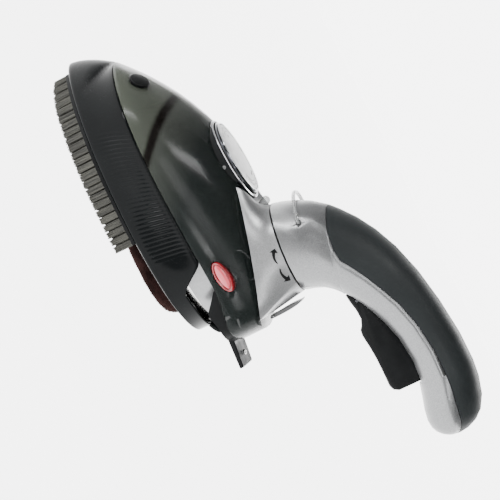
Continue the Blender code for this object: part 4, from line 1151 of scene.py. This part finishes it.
def make_lock_lever():
    outer = [(174.9, 40.6), (176.7, 40.2), (176.9, 46.0), (176.6, 52.0), (176.0, 56.5)]
    outer += [(175.2, 59.0), (174.1, 60.2)]
    inner = [(174.2, 58.8), (174.0, 54.0), (174.3, 49.0), (174.7, 44.5), (174.8, 42.4)]
    side = spline(outer + inner, 5, True)
    slab("lock_lever_body", side, 7.0, 0.9, "grey", "lock_lever", ("swivel_lock_lever",))


make_collar()
make_lock_lever()


# ---- arrows on the collar ----
ARROW_PATHS = (
    ((150.8, 60.4), (148.6, 60.0), (146.2, 60.4), (144.2, 61.4), (142.8, 62.7)),
    ((153.6, 60.2), (155.8, 59.6), (158.2, 59.8), (160.3, 60.7), (161.9, 61.9)),
)


def skin_tree(name):
    work = bmesh.new()
    work.from_mesh(bpy.data.objects[name].data)
    work.transform(bpy.data.objects[name].matrix_world)
    tree = BVHTree.FromBMesh(work)
    work.free()
    return tree


def dropped(tree, spot, lift):
    """Where a line across the iron meets the collar's left side, lifted off it by some millimetres."""
    hit, normal, _, _ = tree.ray_cast(place((spot.x, -70.0, spot.y)), Vector((0.0, 1.0, 0.0)))
    if normal.y > 0.0:
        normal = -normal
    return hit + normal * lift * MM


def arrow_outline(path):
    """Tapered curved shaft with a pointed head, as an outline in X and Z."""
    line = spline([(*p,) for p in path], 5)
    left = []
    right = []
    count = len(line) - 1
    for k, (x, z) in enumerate(line):
        t = k / count
        if t > 0.74:
            break
        a = Vector(line[max(k - 1, 0)])
        b = Vector(line[min(k + 1, count)])
        side = (b - a).normalized().orthogonal()
        half = 0.3 + 0.62 * min(t / 0.74, 1.0)
        left.append(Vector((x, z)) + side * half)
        right.append(Vector((x, z)) - side * half)
        last = (Vector((x, z)), side)
    tip = Vector(line[-1])
    middle, side = last
    return left, right, middle + side * 2.3, middle - side * 2.3, tip


def make_arrows():
    """Two thin curved arrows that lie on the collar's left side."""
    tree = skin_tree("collar_skin")
    for number, path in enumerate(ARROW_PATHS):
        left, right, wing_a, wing_b, tip = arrow_outline(path)
        rows = list(zip(left, right))
        rows.append((wing_a, wing_b))
        steps = 5
        for k in range(1, steps + 1):
            t = k / steps
            rows.append((wing_a.lerp(tip, t * 0.985), wing_b.lerp(tip, t * 0.985)))
        points = []
        for lift in (0.02, 0.1):
            for a, b in rows:
                points += [dropped(tree, p, lift) for p in (a, (a + b) / 2, b)]
        faces = []
        half = len(rows) * 3
        for k in range(len(rows) - 1):
            for i in (0, 1):
                a = k * 3 + i
                faces.append((a, a + 1, a + 4, a + 3))
                faces.append((half + a, half + a + 3, half + a + 4, half + a + 1))
            faces.append((k * 3, k * 3 + 3, half + k * 3 + 3, half + k * 3))
            faces.append((k * 3 + 2, half + k * 3 + 2, half + k * 3 + 5, k * 3 + 5))
        for row in (0, (len(rows) - 1) * 3):
            for i in (0, 1):
                faces.append((row + i, row + i + 1, half + row + i + 1, half + row + i))
        back = [((p.x / MM) + MID_X, p.y / MM, (p.z / MM) - STAND) for p in points]
        add_piece("swivel_arrow_near_%d" % (number + 1), back, faces, "satin_black", "head")


make_arrows()

spring = bpy.data.objects["pump_spring_skin"]
spring.modifiers.clear()
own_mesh(spring)
